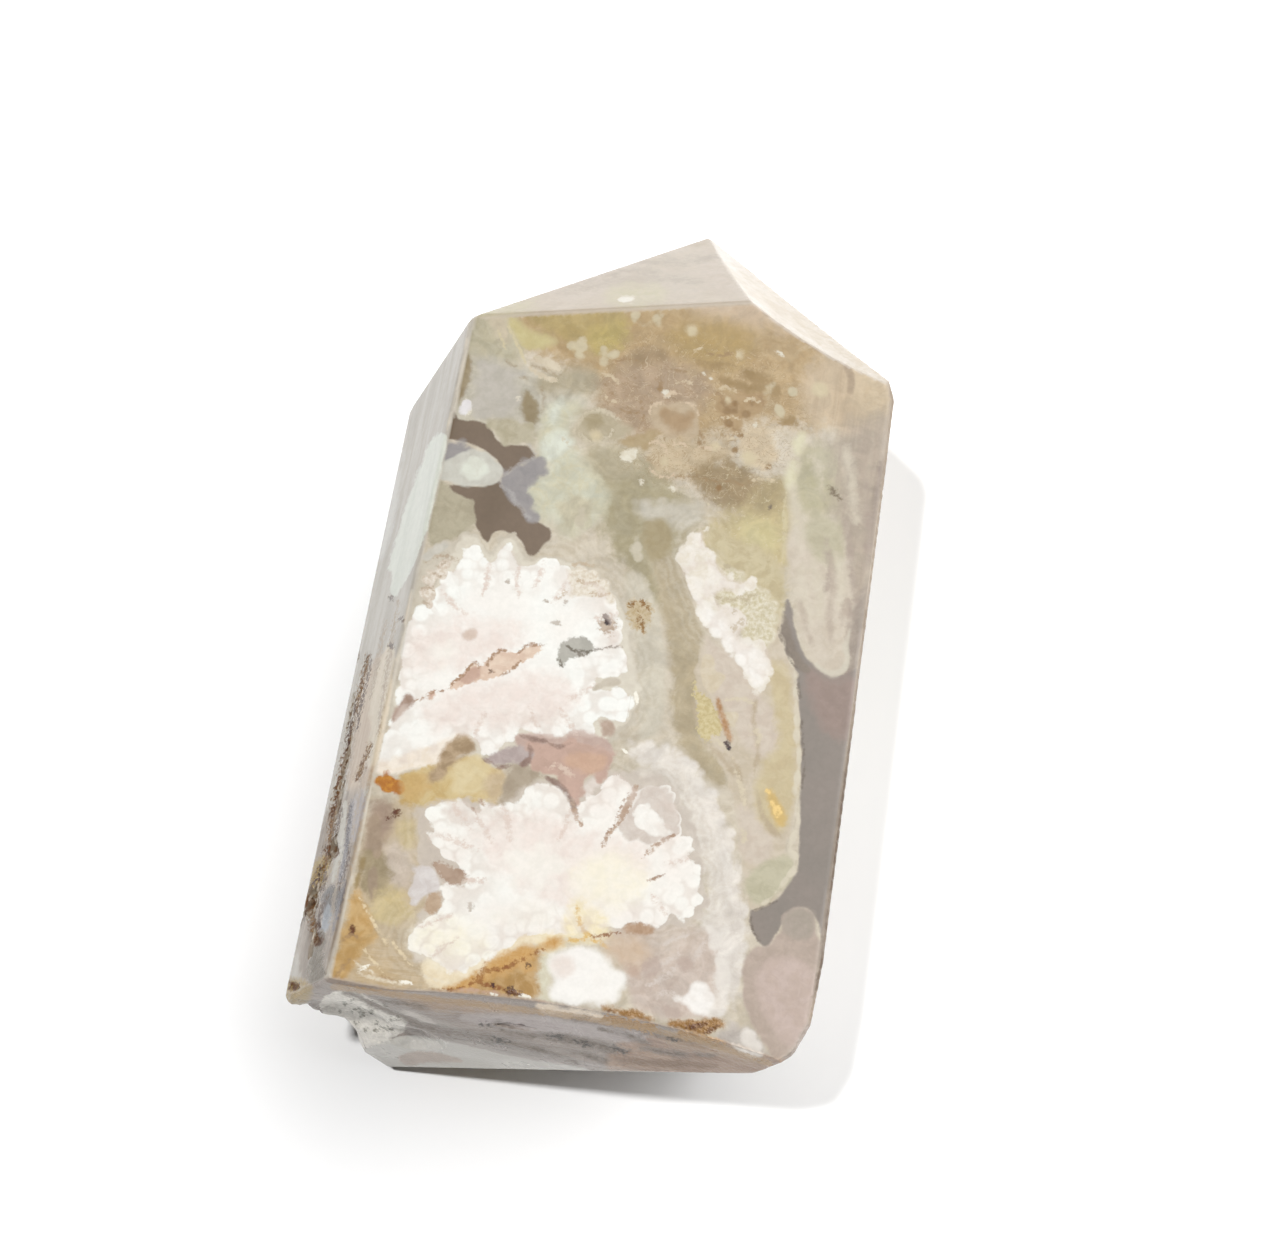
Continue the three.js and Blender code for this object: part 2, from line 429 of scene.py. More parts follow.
def faceShares(mesh):
    # how much each point belongs to each named ground face, and whether the picture shows it
    points = readPoints(mesh)
    triangles = triangleCorners(mesh)
    a, b, c = (points[triangles[:, i]] for i in range(3))
    normals = np.cross(b - a, c - a)
    area = np.linalg.norm(normals, axis=1)
    normals /= np.maximum(area, 1e-20)[:, None]
    middle = (a + b + c) / 3
    eye = np.array(viewing["target"]) + np.array(backVector()) * viewing["distance"]
    towards = eye - middle
    seen = (towards * normals).sum(1) / np.linalg.norm(towards, axis=1) > viewing["grazing"]
    nx, ny, nz = normals.T
    along, limits = middle[:, 1], faceLimits
    tip = (ny > limits["tipUp"]) & (nz > limits["tipUp"])
    sloped = (nz < limits["level"]) & seen
    belongs = {
        "tipLeft": tip & (nx <= limits["tipSplit"]),
        "tipRight": tip & (nx > limits["tipSplit"]),
        "flank": sloped & (nx < limits["flankAcross"]) & (along > limits["flankFrom"]),
        "heel": sloped & (along < limits["heelTo"]) & (ny < limits["heelUp"]),
        "bevel": (nx > limits["bevelAcross"]) & (ny < limits["tipUp"]) & seen,
    }
    belongs["flank"] &= ~belongs["heel"]
    belongs["bevel"] &= ~belongs["heel"]
    belongs["front"] = ~np.any(list(belongs.values()), axis=0)

    def gathered(values):
        total = np.zeros((len(points), *values.shape[1:]))
        for i in range(3):
            np.add.at(total, triangles[:, i], values)
        return total

    weight = np.maximum(gathered(area), 1e-20)
    shares = {name: gathered(area * belongs[name]) / weight for name in faceNames}
    seenPoint = np.zeros(len(points), bool)
    seenPoint[triangles[seen].ravel()] = True
    outward = gathered(normals * area[:, None])
    outward /= np.maximum(np.linalg.norm(outward, axis=1), 1e-20)[:, None]
    return shares, seenPoint, outward


turnedOver = 0.85  # length on the front that stands for one of depth on a hidden side


def pictureSpots(points, seenPoint, outward):
    # Seen points keep their own place in the picture. On the other faces the front's
    # markings run on round the edge, turned over into the depth of the stone.
    spots = pixelsOf(points)
    top = cadHigh.z
    depth = top - points[:, 2]
    turned = points.copy()
    turned[:, :2] -= outward[:, :2] * (turnedOver * depth)[:, None]
    turned[:, 2] = top
    return np.where(seenPoint[:, None], spots, pixelsOf(turned))


def readOutline(text):
    return np.array([[float(n) for n in spot.split(",")] for spot in text.split()])


def roundOff(outline, closed=True):
    # cuts the corners twice
    for _ in range(2):
        after = np.roll(outline, -1, axis=0)
        if not closed:
            outline, after = outline[:-1], after[:-1]
            ends = outline[:1], after[-1:]
        cut = np.empty((len(outline) * 2, outline.shape[1]))
        cut[0::2] = outline * 0.75 + after * 0.25
        cut[1::2] = outline * 0.25 + after * 0.75
        outline = cut if closed else np.concatenate([ends[0], cut, ends[1]])
    return outline


pixelsPerMm = 12.6
farAway = 6.0  # mm; distances are cut off here


def gapToShape(spots, low, high, measure):
    # mm to a shape that lies between two corners; measure gives it in pixels
    margin = farAway * pixelsPerMm
    near = np.flatnonzero(((spots > low - margin) & (spots < high + margin)).all(1))
    gap = np.full(len(spots), farAway)
    if len(near):
        gap[near] = np.clip(measure(spots[near]) / pixelsPerMm, -farAway, farAway)
    return gap


def outlineGap(spots, text):
    # mm to the outline, negative inside it
    outline = roundOff(readOutline(text))

    def measure(chosen):
        best = np.full(len(chosen), 1e9)
        for i in range(len(outline)):
            best = np.minimum(best, segmentGap(chosen, outline[i - 1], outline[i])[0])
        return best * np.where(insideOutline(chosen, outline), -1.0, 1.0)

    return gapToShape(spots, outline.min(0), outline.max(0), measure)


def lineGap(spots, text, taper):
    # mm to the rim of a drawn line, which thins towards its ends; the text begins with its
    # width in pixels
    width, _, route = text.partition(" ")
    line = roundOff(readOutline(route), False)
    steps = len(line) - 1

    def measure(chosen):
        best = np.full(len(chosen), 1e9)
        for i in range(steps):
            reach, t = segmentGap(chosen, line[i], line[i + 1])
            place = (i + t) / steps
            half = 0.5 * float(width) * (1 - taper * np.abs(2 * place - 1) ** 2)
            best = np.minimum(best, reach - half)
        return best

    return gapToShape(spots, line.min(0), line.max(0), measure)


def storeThrees(mesh, prefix, columns):
    # values of the points are stored three to an attribute, which the renderer reads much
    # faster than single ones; returns where each named column went
    places = {}
    names = list(columns)
    for start in range(0, len(names), 3):
        label = f"{prefix}{start // 3}"
        packed = np.zeros((len(mesh.vertices), 3), np.float32)
        for slot, name in enumerate(names[start : start + 3]):
            packed[:, slot] = columns[name]
            places[name] = (label, slot)
        layer = mesh.attributes.new(label, "FLOAT_VECTOR", "POINT")
        layer.data.foreach_set("vector", packed.ravel())
    return places


def mark(tones, soft=0.15, wander=0.3, shapes="", **more):
    # one marking: its one or two tones, how blurred and how ragged its rim is in mm, and its
    # outlines, which slashes part
    first, *others = (tuple(int(tone[i : i + 2], 16) for i in (1, 3, 5)) for tone in tones.split())
    given = {
        "colour": first, "second": others[0] if others else first, "soft": soft, "wander": wander,
        "lines": "", "dots": "", "on": "front", "edge": "cloud", "mix": "mottle", "strength": 1.0,
        "taper": 0.7, "rough": 0.0, "deep": 0.0, "everywhere": False, **more,
    }
    given["shapes"] = [text for text in shapes.split(" / ") if text]
    given["lines"] = [text for text in given["lines"].split(" / ") if text]
    return given


# The markings, from the lowest to the topmost. Tones are as they look in daylight; where there
# are two, "mix" is the pattern that mottles them. After them come soft and wander. "edge" is
# the kind of raggedness, "strength" how much a marking covers, "taper" how much its lines thin
# out, "rough" how much polish it lacks and "deep" how deep it is sunk, in mm. Outlines, lines,
# which begin with their width, and dots, x, y and radius, are in pixels of the viewing frame.
stains = dict(
    tanShoulder=mark("#c1aa85 #b69d77", 1.5, 1.2, "500,285 790,285 815,345 845,375 832,412 800,428 760,420 "
        "700,442 640,436 605,410 598,388 570,372 540,352 512,335"),
    topPink=mark("#cdbaa2 #c7b298", 1.1, 0.6, "690,296 790,296 800,330 770,326 730,322 700,314"),
    ochreHollow=mark("#b39a6a #b8a072", 1.2, 0.8, "672,328 720,322 748,332 752,352 730,366 700,366 676,352"),
    yellowBrownTop=mark("#baa779 #b29e6f", 0.6, 0.5, "520,300 622,296 628,330 622,345 610,354 590,353 "
        "575,345 556,336 538,328"),
    yellowPool=mark("#c0af75 #baa870", 0.75, 0.5, "590,330 622,322 626,342 606,350 590,346"),
    oliveCorner=mark("#bdb59c #c6bfa8", 0.9, 0.5, "456,290 505,290 515,330 525,362 505,368 478,362 462,350"),
    cornerLight=mark("#d0c3ac #cabea6", 0.6, 0.3, "488,312 504,312 508,332 506,346 496,336"),
    greyTop=mark("#cbc5b6 #beb7a5", 0.6, 0.5, "472,352 525,368 560,380 588,398 562,412 545,430 500,426 "
        "470,419 452,430 452,392 464,366"),
    greenGreyCentre=mark("#bcb29a #b4a990", 0.75, 0.5, "540,376 575,368 598,372 606,392 585,396 560,390 "
        "548,396 536,388"),
    mauveBrown=mark("#b8a38a #ae987f", 1.1, 0.7, "600,385 618,366 645,356 690,366 712,385 705,404 650,440 "
        "612,432 604,410"),
    brownBrow=mark("#aa9476 #a38d6e", 0.6, 0.4, "628,356 642,347 662,349 668,357 650,362 634,364"),
    creamUpper=mark("#cbba9d #c1ae90", 0.6, 0.5, "642,440 665,437 700,438 735,442 726,462 698,474 664,484 "
        "648,480 644,464", edge="lobed"),
    oliveMiddle=mark("#b4ab90 #aba184", 0.9, 0.8, "586,452 640,462 665,480 690,500 704,520 690,535 674,560 "
        "668,600 650,612 634,580 612,545 598,520"),
    oliveBelowSwirl=mark("#bfb59b #b8ad92", 0.7, 0.5, "582,448 602,444 626,447 642,442 642,472 612,482 "
        "594,470"),
    greyCloud=mark("#c4bdad #cbc5b6", 0.6, 0.4, "636,500 665,503 700,500 706,512 700,522 688,531 670,525 "
        "650,522 638,520", edge="lobed"),
    brownOlive=mark("#a69374 #9c896a", 0.75, 0.7, "682,477 700,464 720,460 738,464 756,476 770,484 762,494 "
        "748,505 738,512 722,510 712,500 700,488"),
    mustardMiddle=mark("#c4b48a #cdbf94", 1.0, 0.7, "712,512 745,512 762,498 786,478 790,520 786,570 765,600 "
        "738,590 716,560 706,534"),
    mustardLight=mark("#d0c59a #cabe91", 0.75, 0.6, "738,524 760,518 778,526 780,546 760,552 742,544"),
    oliveShadow=mark("#b0a07c #b8a882", 0.75, 0.5, "756,484 784,476 786,505 768,516 748,510"),
    pinkCream=mark("#d6c5a8 #ccba9e", 0.52, 0.5, "740,430 750,421 764,427 771,434 777,447 776,461 765,472 "
        "750,466 740,452", edge="lobed"),
    mintPool=mark("#d1d0bc #d3cdb2", 0.8, 0.6, "541,445 541,420 548,404 562,398 578,400 582,412 570,424 "
        "568,434 580,445 590,460 592,474 600,486 602,502 596,518 584,530 562,532 548,522 535,508 529,498 "
        "525,488 531,477 546,465 540,455", edge="rayed"),
    mintBright=mark("#dbddcf #d6d7c6", 0.45, 0.4, "541,452 546,438 558,430 572,436 578,446 562,454 552,462 "
        "545,460 / 548,410 556,398 566,394 562,412 552,424", edge="rayed"),
    mintFar=mark("#cec7ae #c4bca4", 0.4, 0.5, "556,505 572,494 590,500 592,514 580,526 562,524"),
    greenGreyRight=mark("#bbb496 #bfb89d", 0.9, 0.5, "802,448 816,446 832,455 840,470 844,492 840,504 "
        "822,516 802,515 792,500 796,478"),
    sageRight=mark("#ccc5ac #c6bfa6", 0.52, 0.3, "812,452 826,450 836,462 840,482 832,478 822,466"),
    tanRight=mark("#cfbca0 #c6b296", 0.8, 0.8, "800,362 905,350 905,432 850,436 822,425 800,410",
        mix="streak"),
    orangeTanRight=mark("#cfbea2 #c7b497", 1.3, 0.5, "855,362 890,378 892,420 872,432 856,410"),
    mauveRight=mark("#baad9c #b5a797", 1.6, 0.7, "842,428 905,410 905,600 864,640 850,600 842,540 836,480",
        mix="streak"),
    mauveStrip=mark("#b0a497 #a89b8f", 0.35, 0.3, "853,596 905,560 905,700 850,700 846,672 850,655 846,642 "
        "851,620"),
    mauveRim=mark("#a49588 #9a8b7f", 0.4, 0.3, "880,455 905,455 905,560 872,575 866,545 872,500",
        mix="streak"),
    oliveHalo=mark("#bfb297 #b8aa8e", 0.5, 0.4, "650,545 670,550 690,595 706,640 696,690 700,740 730,772 "
        "720,790 690,765 672,720 674,660 660,600"),
    creamHalo=mark("#d7d0bf #cfc7b5", 0.35, 0.3, "628,565 650,585 662,630 666,690 660,730 645,742 640,735 "
        "640,690 632,640 626,600"),
    lilacVeil=mark("#eee7de #e6ded4", 0.5, 0.6, "620,745 655,742 690,756 712,785 735,840 745,900 750,940 "
        "745,962 732,1015 700,1022 690,960 702,920 706,880 692,840 670,790", edge="lobed"),
    greyVeil=mark("#e2dad0 #dad2c8", 0.35, 0.4, "636,765 660,766 676,782 690,806 694,828 684,832 676,806 "
        "660,786 640,780 / 722,905 742,912 742,940 724,934 / 728,960 742,965 740,1002 726,1010",
        edge="lobed"),
    sandCorner=mark("#cdbca1 #c4b399", 0.6, 0.6, "378,800 430,800 440,850 425,930 450,975 430,1010 330,1010 "
        "340,930 355,880"),
    mauveBrownLow=mark("#b6a392 #ac9888", 0.64, 0.4, "374,798 390,802 396,820 384,840 380,862 366,858 "
        "368,825"),
    mauveLow=mark("#d5c8b9 #cbbdad", 0.64, 0.4, "386,842 408,838 414,860 412,885 392,890 382,865"),
    yellowLow=mark("#d4c39b #ccba92", 0.56, 0.35, "398,818 414,820 418,840 410,850 398,842"),
    greyGreenLow=mark("#b2a48a #a89a80", 0.4, 0.5, "362,850 382,850 392,880 382,900 370,903 362,885"),
    taupeColumns=mark("#aa9885 #b4a28f", 0.14, 0.2, "370,816 380,814 382,836 380,858 376,860 372,848 366,842 "
        "/ 367,868 378,864 378,884 376,902 371,904 368,888", strength=0.85),
    edgeWedge=mark("#a08d6c #aa9876", 0.14, 0.15, "363,856 366,862 360,880 356,890 353,888 358,872",
        strength=0.85),
    yellowWedge=mark("#d6c69e #d0be94", 0.64, 0.7, "376,890 398,888 412,905 408,922 380,926 370,912"),
    amberWedge=mark("#d1b385 #c5a373", 0.35, 0.4, "353,885 363,900 376,930 382,955 352,968 340,990 326,990 "
        "344,930"),
    paleFoot=mark("#d3c1a5 #cab492", 0.4, 0.5, "352,968 380,935 420,950 450,975 445,992 430,1005 345,998",
        mix="fibre"),
    mauveFoot=mark("#d6c8bc #ccbcaf", 0.5, 0.5, "615,935 660,926 700,922 716,950 712,1010 690,1022 640,1015 "
        "626,985"),
    whiteFoot=mark("#cec6bd #c0b7ae", 0.4, 0.4, "712,1030 745,1022 768,1045 775,1075 735,1075", edge="lobed"),
)
plumes = dict(
    # clear places: the stone's own grey, darkened by painted shade that stands for the shadow seen through
    # the clear stone
    oliveLeft=mark("#beb69f #b2a993", 0.25, 0.4, "430,481 448,483 474,496 480,512 478,526 462,534 445,542 "
        "426,548"),
    clearDark=mark("#897a6c #817365", 0.11, 0.14, "440,408 452,409 456,414 458,420 465,421 478,421 488,425 "
        "494,433 496,440 503,444 515,446 528,444 532,450 536,458 530,462 522,463 515,468 507,474 503,475 "
        "500,463 495,458 487,452 478,446 468,442 455,440 440,436 / 447,484 462,485 478,487 490,484 500,480 "
        "502,487 510,490 516,495 516,502 522,505 524,512 530,518 540,523 548,527 552,532 551,540 545,543 "
        "540,548 538,553 531,556 527,553 525,545 519,538 512,533 500,529 492,534 488,543 484,540 480,532 "
        "474,526 477,518 473,508 476,500 464,497 452,490", mix="broad"),
    # painted shade seen through the clear right side, over the stone's own grey
    clearRight=mark("#9c928a #968e86", 0.14, 0.15, "776,625 786,598 790,600 797,640 806,660 835,680 862,665 "
        "905,640 905,1000 824,975 820,925 812,910 800,906 788,913 778,928 770,946 764,948 757,940 751,930 "
        "749,914 752,909 762,906 776,900 786,889 800,868 799,840 802,760 797,668 788,660 783,642",
        mix="broad"),
    clearRightWarm=mark("#a5938a #9e8d84", 0.7, 0.5, "806,664 835,684 852,672 864,690 860,730 836,740 "
        "812,712"),
    clearRightEdge=mark("#a69a92 #a0958d", 0.6, 0.3, "868,640 905,640 905,760 860,760 856,720 / 846,900 "
        "905,860 905,1000 838,1000 838,950"),
    wedgeDark=mark("#8e8378 #968b7f", 0.2, 0.15, "776,625 786,612 793,640 800,658 812,672 802,672 790,662 "
        "784,645"),
    slotBrown=mark("#9f9176 #98896d", 0.3, 0.3, "522,394 527,391 533,396 538,404 539,418 535,424 528,424 "
        "522,418 520,408"),
    stripBrown=mark("#9e8f76 #aa9c82", 0.25, 0.25, "464,350 471,356 472,374 466,392 458,404 453,402 460,378"),
    # clouds of the upper part
    creamShelf=mark("#c4bca5 #b8af96", 0.2, 0.3, "485,417 500,418 520,420 530,424 536,430 535,440 530,445 "
        "515,445 502,444 494,436 488,426", edge="lobed"),
    lilacPatch=mark("#c8c2b7 #c0baae", 0.4, 0.35, "480,362 492,360 500,364 512,368 527,370 527,376 515,380 "
        "520,390 519,412 505,416 490,418 478,417 470,410 472,398 478,385 476,372", edge="lobed"),
    lilacEdge=mark("#a6a19f #9e9a99", 0.28, 0.3, "440,446 452,440 463,441 472,448 474,455 462,462 450,466 "
        "441,466 / 497,476 508,470 518,464 530,458 541,455 549,462 546,474 536,482 529,490 532,502 536,512 "
        "540,522 532,524 522,514 514,505 508,497 500,488", edge="lobed"),
    lilacEdgeLight=mark("#c4c0bc", 0.16, 0.15, lines="3 501,486 507,489 514,495 514,503 521,507 524,513 "
        "531,519 / 2.5 505,474 514,467 522,462 531,460 536,456 533,449 528,443", edge="fine", strength=0.4,
        taper=0.3),
    whitePlumeTop=mark("#d3d1c6 #ccc9be", 0.16, 0.14, "438,462 452,458 460,452 470,449 480,450 490,455 "
        "499,463 503,471 502,479 492,485 478,487 462,486 450,482 438,480", edge="lobed"),
    whitePlumeCore=mark("#e5e7da #deded1", 0.25, 0.2, "458,468 465,462 474,456 484,458 489,465 488,473 "
        "478,479 466,478", edge="lobed"),
    whiteSpots=mark("#e7e1d0 #ded5c0", 0.1, 0.15, "462,402 468,398 472,404 471,412 467,417 463,412 / 620,453 "
        "628,450 637,446 638,452 635,460 628,462 620,460 / 637,478 641,477 645,484 641,485 / 668,488 672,485 "
        "678,488 674,492 / 738,387 742,389 747,393 741,392 / 772,350 783,352 786,358 780,355 / 710,376 "
        "713,377 712,380 709,379 / 702,371 706,376 704,376 / 514,397 520,396 520,400 516,400 / 752,422 "
        "758,423 757,427 752,427 / 661,390 668,389 671,397 664,397", edge="fine"),
    yellowLens=mark("#d1c697 #cabd8d", 0.38, 0.2, "508,314 520,322 528,330 545,335 560,341 546,346 537,349 "
        "525,348 517,340 511,328"),
    creamBlobs=mark("#d2c6a8 #cbbfa2", 0.24, 0.42, "571,342 575,338 582,337 587,342 589,350 583,352 590,357 "
        "583,360 573,354 571,348 / 597,356 603,349 610,351 620,350 617,356 607,362 598,363 / 628,310 640,310 "
        "642,317 638,325 632,326 628,318 / 647,317 655,312 664,313 664,325 656,327 650,324 / 772,403 780,401 "
        "784,410 788,420 783,423 778,420 774,410 / 764,384 774,384 776,394 768,398 / 788,387 797,389 797,397 "
        "789,397", edge="lobed"),
    creamStreaks=mark("#ded2bb #d2c5ac", 0.1, 0.2, "533,355 540,357 550,358 562,366 562,371 554,371 544,364 "
        "535,359 / 525,364 536,370 548,376 562,381 552,382 536,376", edge="fine"),
    streakShadow=mark("#ac9c82", 0.16, 0.12, lines="3.5 530,363 540,368 550,373 560,375 / 3 506,360 511,364 "
        "517,366 / 2.5 520,378 528,378 / 2.5 541,386 545,400 542,414", edge="fine", strength=0.6, taper=0.9),
    lightLines=mark("#d8cdaa", 0.08, 0.08, lines="3 508,325 514,338 520,350 526,364 / 2.5 498,330 506,350",
        edge="fine", strength=0.8),
    swirlRing=mark("#c2b79e #b8ac92", 0.5, 0.3, "568,430 578,415 590,408 605,410 618,418 632,425 636,432 "
        "622,440 606,442 590,443 575,441", edge="lobed"),
    swirlLines=mark("#d5cbb4", 0.12, 0.25, lines="3 574,432 580,420 592,411 606,411 620,420 / 3 580,430 "
        "583,440 596,442 610,437 614,428 / 3 560,436 570,446 580,450", edge="fine", strength=0.7, taper=0.9),
    swirlCore=mark("#b0a385 #a89a7c", 0.45, 0.2, "585,418 596,415 606,418 600,425 590,430 585,426"),
    tanTongue=mark("#b39e7a #bba886", 0.3, 0.3, "616,442 635,436 650,430 663,432 655,440 646,452 640,446 "
        "628,447"),
    heartRing=mark("#c8b69b #bfac90", 0.27, 0.3, "648,412 652,404 660,400 668,404 678,404 684,399 693,403 "
        "700,414 701,427 695,438 688,441 680,437 668,437 655,431 648,421", edge="lobed"),
    heartCore=mark("#b59c7c #ae9474", 0.4, 0.25, "658,412 665,407 675,410 682,415 690,411 696,415 694,425 "
        "685,430 680,435 672,432 662,424", edge="lobed"),
    heartLines=mark("#dbc7ac", 0.09, 0.2, lines="2.6 649,414 651,407 657,403 664,403 / 2.2 680,404 688,401 "
        "695,406 699,416 / 2.2 664,397 672,392 680,394 / 2.4 646,446 656,440 664,446 667,456 / 2.2 672,444 "
        "682,442 690,448 / 2.4 700,446 714,450 724,446 / 2.4 648,466 656,476 668,478 678,472", edge="fine",
        strength=0.75, taper=0.8),
    brownCluster=mark("#b9a07c #ae936e", 0.38, 0.5, "714,394 740,390 762,394 764,406 756,412 746,422 740,432 "
        "724,432 716,415", edge="lobed"),
    brownStreaks=mark("#a18861 #aa926c", 0.3, 0.45, "738,372 752,369 765,374 776,381 762,384 748,380",
        lines="7 716,377 730,384 746,388 762,387 / 5 700,362 716,366 732,362 / 5 776,388 777,396 774,402 / 7 "
        "782,424 792,421 800,424"),
    brownBeads=mark("#967956 #a08664", 0.16, 0.2, dots="735,404,3.6 735,411,3 746,414,4.2 728,411,3.4 "
        "724,402,2.6 752,403,2.8 729,423,4 700,443,2.4 741,435,2.2 735,450,2 719,488,2.6 768,467,3 "
        "660,388,2.4"),
    wrinkles=mark("#a48968", 0.1, 0.2, lines="2 726,431 736,429 746,431 / 2 724,436 736,435 744,437 / 2 "
        "728,441 738,440 / 2.4 716,392 724,396 722,404 / 2.4 756,395 764,400 764,408 / 2.2 700,430 704,440 "
        "702,450 / 2.2 656,378 662,384 660,392 / 2.2 640,400 644,412 642,424 / 2.4 700,478 716,482 730,480 "
        "744,486 / 2.2 674,476 688,477 700,476 / 2.2 706,352 720,356 738,352 / 2.2 604,382 610,392 616,394 / "
        "2.2 620,408 628,414 640,412 / 2 666,366 676,372 690,372 / 2.2 612,362 624,358 636,360", edge="fine",
        strength=0.6, taper=0.9),
    creamWrinkles=mark("#dbcbad", 0.1, 0.2, lines="2.2 718,389 728,386 738,392 / 2.4 744,402 752,398 760,402 "
        "/ 2.2 722,418 732,416 740,420 / 2 726,433.5 736,432 746,434 / 2 724,438.5 734,438 742,439.5 / 2.6 "
        "600,372 612,376 620,384 / 2.4 604,396 612,402 622,402 / 2.4 748,468 760,464 770,468 / 2.4 676,384 "
        "684,380 694,384 / 2.2 692,352 704,346 / 2.4 752,480 764,478 776,482 / 2.4 736,356 740,350",
        edge="fine", strength=0.65, taper=0.9),
    lightSpots=mark("#d9cbab #d2c4a4", 0.3, 0.25, dots="749,457,7 692,330,5 740,355,3.4 716,446,3.4 "
        "664,462,4 820,390,7 596,436,5 728,400,2.4"),
    darkSpecks=mark("#897c69", 0.18, 0.25, lines="2 836,496 842,500", dots="833,492,3.6 828,487,1.8 "
        "770,506,2 886,478,3.6 884,486,2.6", edge="fine"),
    edgeShadow=mark("#ac9982", 0.16, 0.1, lines="4 764,312 790,331 820,350 850,366 / 7 846,366 852,378 "
        "850,392 / 2.2 520,315 580,311 640,308 700,305 752,303", strength=0.7, taper=0.3),
    mintStreak=mark("#e0dabd #d8d1b2", 0.4, 0.25, "788,465 795,459 798,470 794,482 789,492 785,480 / 793,440 "
        "803,430 806,441 801,452 797,458 794,448"),
    plumeSeam=mark("#d5caa6", 0.12, 0.15, lines="3 787,492 784,510 785,530 783,560 / 3 790,512 800,524 "
        "803,545 806,560", edge="fine", strength=0.8, taper=0.5),
    oliveBrownPatch=mark("#b2a586 #aa9c7c", 0.38, 0.3, "643,523 655,521 670,523 672,540 667,558 650,561 "
        "642,545"),
    palePegs=mark("#d1c9b5 #cbc2ac", 0.2, 0.3, "576,510 584,506 588,516 584,530 576,524 / 632,540 640,538 "
        "642,556 636,566 630,552", edge="lobed"),
    # the long white plume and the plume below it
    plumeBody=mark("#d7cbb8 #cec1ab", 0.16, 0.22, "700,640 712,650 735,655 752,690 768,640 783,600 782,640 "
        "788,655 797,668 796,690 800,700 799,720 801,740 802,760 799,775 797,800 794,820 787,838 784,850 "
        "790,857 792,868 786,880 780,893 775,902 763,907 752,912 744,890 742,850 735,800 722,765 705,735 "
        "692,700", edge="lobed"),
    plumePink=mark("#dacebe #d2c4b4", 0.4, 0.4, "702,632 720,644 745,668 758,698 780,712 788,740 770,760 "
        "745,750 735,720 712,690 / 738,800 752,812 772,832 776,856 750,868 740,850"),
    plumeYellow=mark("#d4c6a3 #ccbc99", 0.5, 0.4, "768,660 788,665 795,720 797,780 790,820 776,835 758,820 "
        "752,790 764,760 782,740 772,700"),
    plumeGreen=mark("#cbc5ac #c0baa0", 0.3, 0.3, "742,880 762,864 785,852 797,862 785,885 772,900 752,908"),
    plumeBands=mark("#c0b096", 0.2, 0.25, lines="5 703,742 722,756 735,776 / 4 724,752 736,764 742,782 / 4 "
        "694,700 698,725 712,748 / 4 756,700 752,720 760,745 754,775 / 5 757,790 760,812 772,832 782,838",
        strength=0.75, taper=0.8),
    plumeLights=mark("#ddd1b8", 0.14, 0.25, lines="3 708,736 722,744 732,758 / 5 757,728 760,736 757,744 / 3 "
        "750,726 751,736 / 5 743,830 744,843 / 4 743,787 745,793 / 3 722,700 740,698 756,704 / 3 735,768 "
        "742,790 745,810", edge="fine", strength=0.8, taper=0.8),
    plumeRim=mark("#dfd6c2", 0.12, 0.2, lines="6 784,645 790,660 795,672 794,690 797,705 797,740 799,762 "
        "796,780 797,805 799,822 794,838 788,850 797,858 795,868 785,880 775,895 762,904", edge="lobed",
        strength=0.75),
    rimShadow=mark("#80756a", 0.1, 0.1, lines="3 777,626 780,636 786,646 789,660 797,668 / 3 799,676 798,688 "
        "801,700 / 2.5 802,716 802,740 805,764 802,790 / 2.5 752,911 762,908 777,901 / 2.5 751,915 752,930 "
        "760,942", edge="fine", strength=0.6, taper=0.7),
    goldGlow=mark("#dabd80 #d2b67a", 0.35, 0.3, "766,788 774,792 784,810 784,826 776,822 770,806"),
    goldStreak=mark("#f6d692", 0.09, 0.12, lines="3.5 771,800 775,808 777,818 / 3 766,790 770,793 / 3 "
        "778,806 781,814", edge="fine"),
    mottledYellow=mark("#d2c6a4 #c4b693", 0.4, 0.5, "704,520 735,540 772,552 784,580 784,612 770,640 752,642 "
        "738,630 748,612 722,600 716,590 740,575 716,556"),
    plumeMottle=mark("#e8e0cc #cdc3a2", 0.4, 0.5, "704,548 722,562 745,578 766,590 780,612 776,640 768,656 "
        "750,642 735,628 718,606 706,582", edge="lobed", mix="grain"),
    whitePlume=mark("#f6f0e6 #eae1d1", 0.16, 0.4, "684,546 688,539 694,533 701,528 704,529 706,531 704,535 "
        "706,545 712,552 718,560 725,570 732,576 742,580 752,576 760,582 752,592 736,596 722,592 715,598 "
        "722,605 738,605 746,612 751,620 746,630 740,638 752,640 762,638 770,646 772,656 775,668 770,680 "
        "763,690 758,697 752,688 745,676 738,662 730,652 720,642 708,632 700,618 695,602 688,588 682,574 "
        "678,562 675,552", edge="petal"),
    plumeTail=mark("#fbf7f0 #f5eee5", 0.3, 0.3, "700,604 712,612 726,622 738,642 756,646 768,656 768,672 "
        "758,690 748,676 736,658 720,640 706,626", edge="lobed"),
    plumeSpecks=mark("#c4b79a", 0.16, 0.35, lines="3 716,598 728,600 742,598 756,594",
        dots="735,628,4 742,622,3 736,612,2.6 726,566,3 748,600,3", edge="fine", strength=0.8),
    creamPeg=mark("#ded2bc #d6c8ae", 0.1, 0.15, "700,660 706,655 713,655 716,662 715,670 722,672 725,678 "
        "720,690 712,695 704,690 700,675 / 722,713 732,711 739,714 737,727 729,728 724,722", edge="lobed"),
    goldFlecks=mark("#dbcea3 #c9b88a", 0.1, 0.3, "694,679 697,690 703,695 712,700 718,713 723,730 720,736 "
        "712,735 710,743 703,740 698,732 697,720 698,705 692,692", edge="fine", mix="grain"),
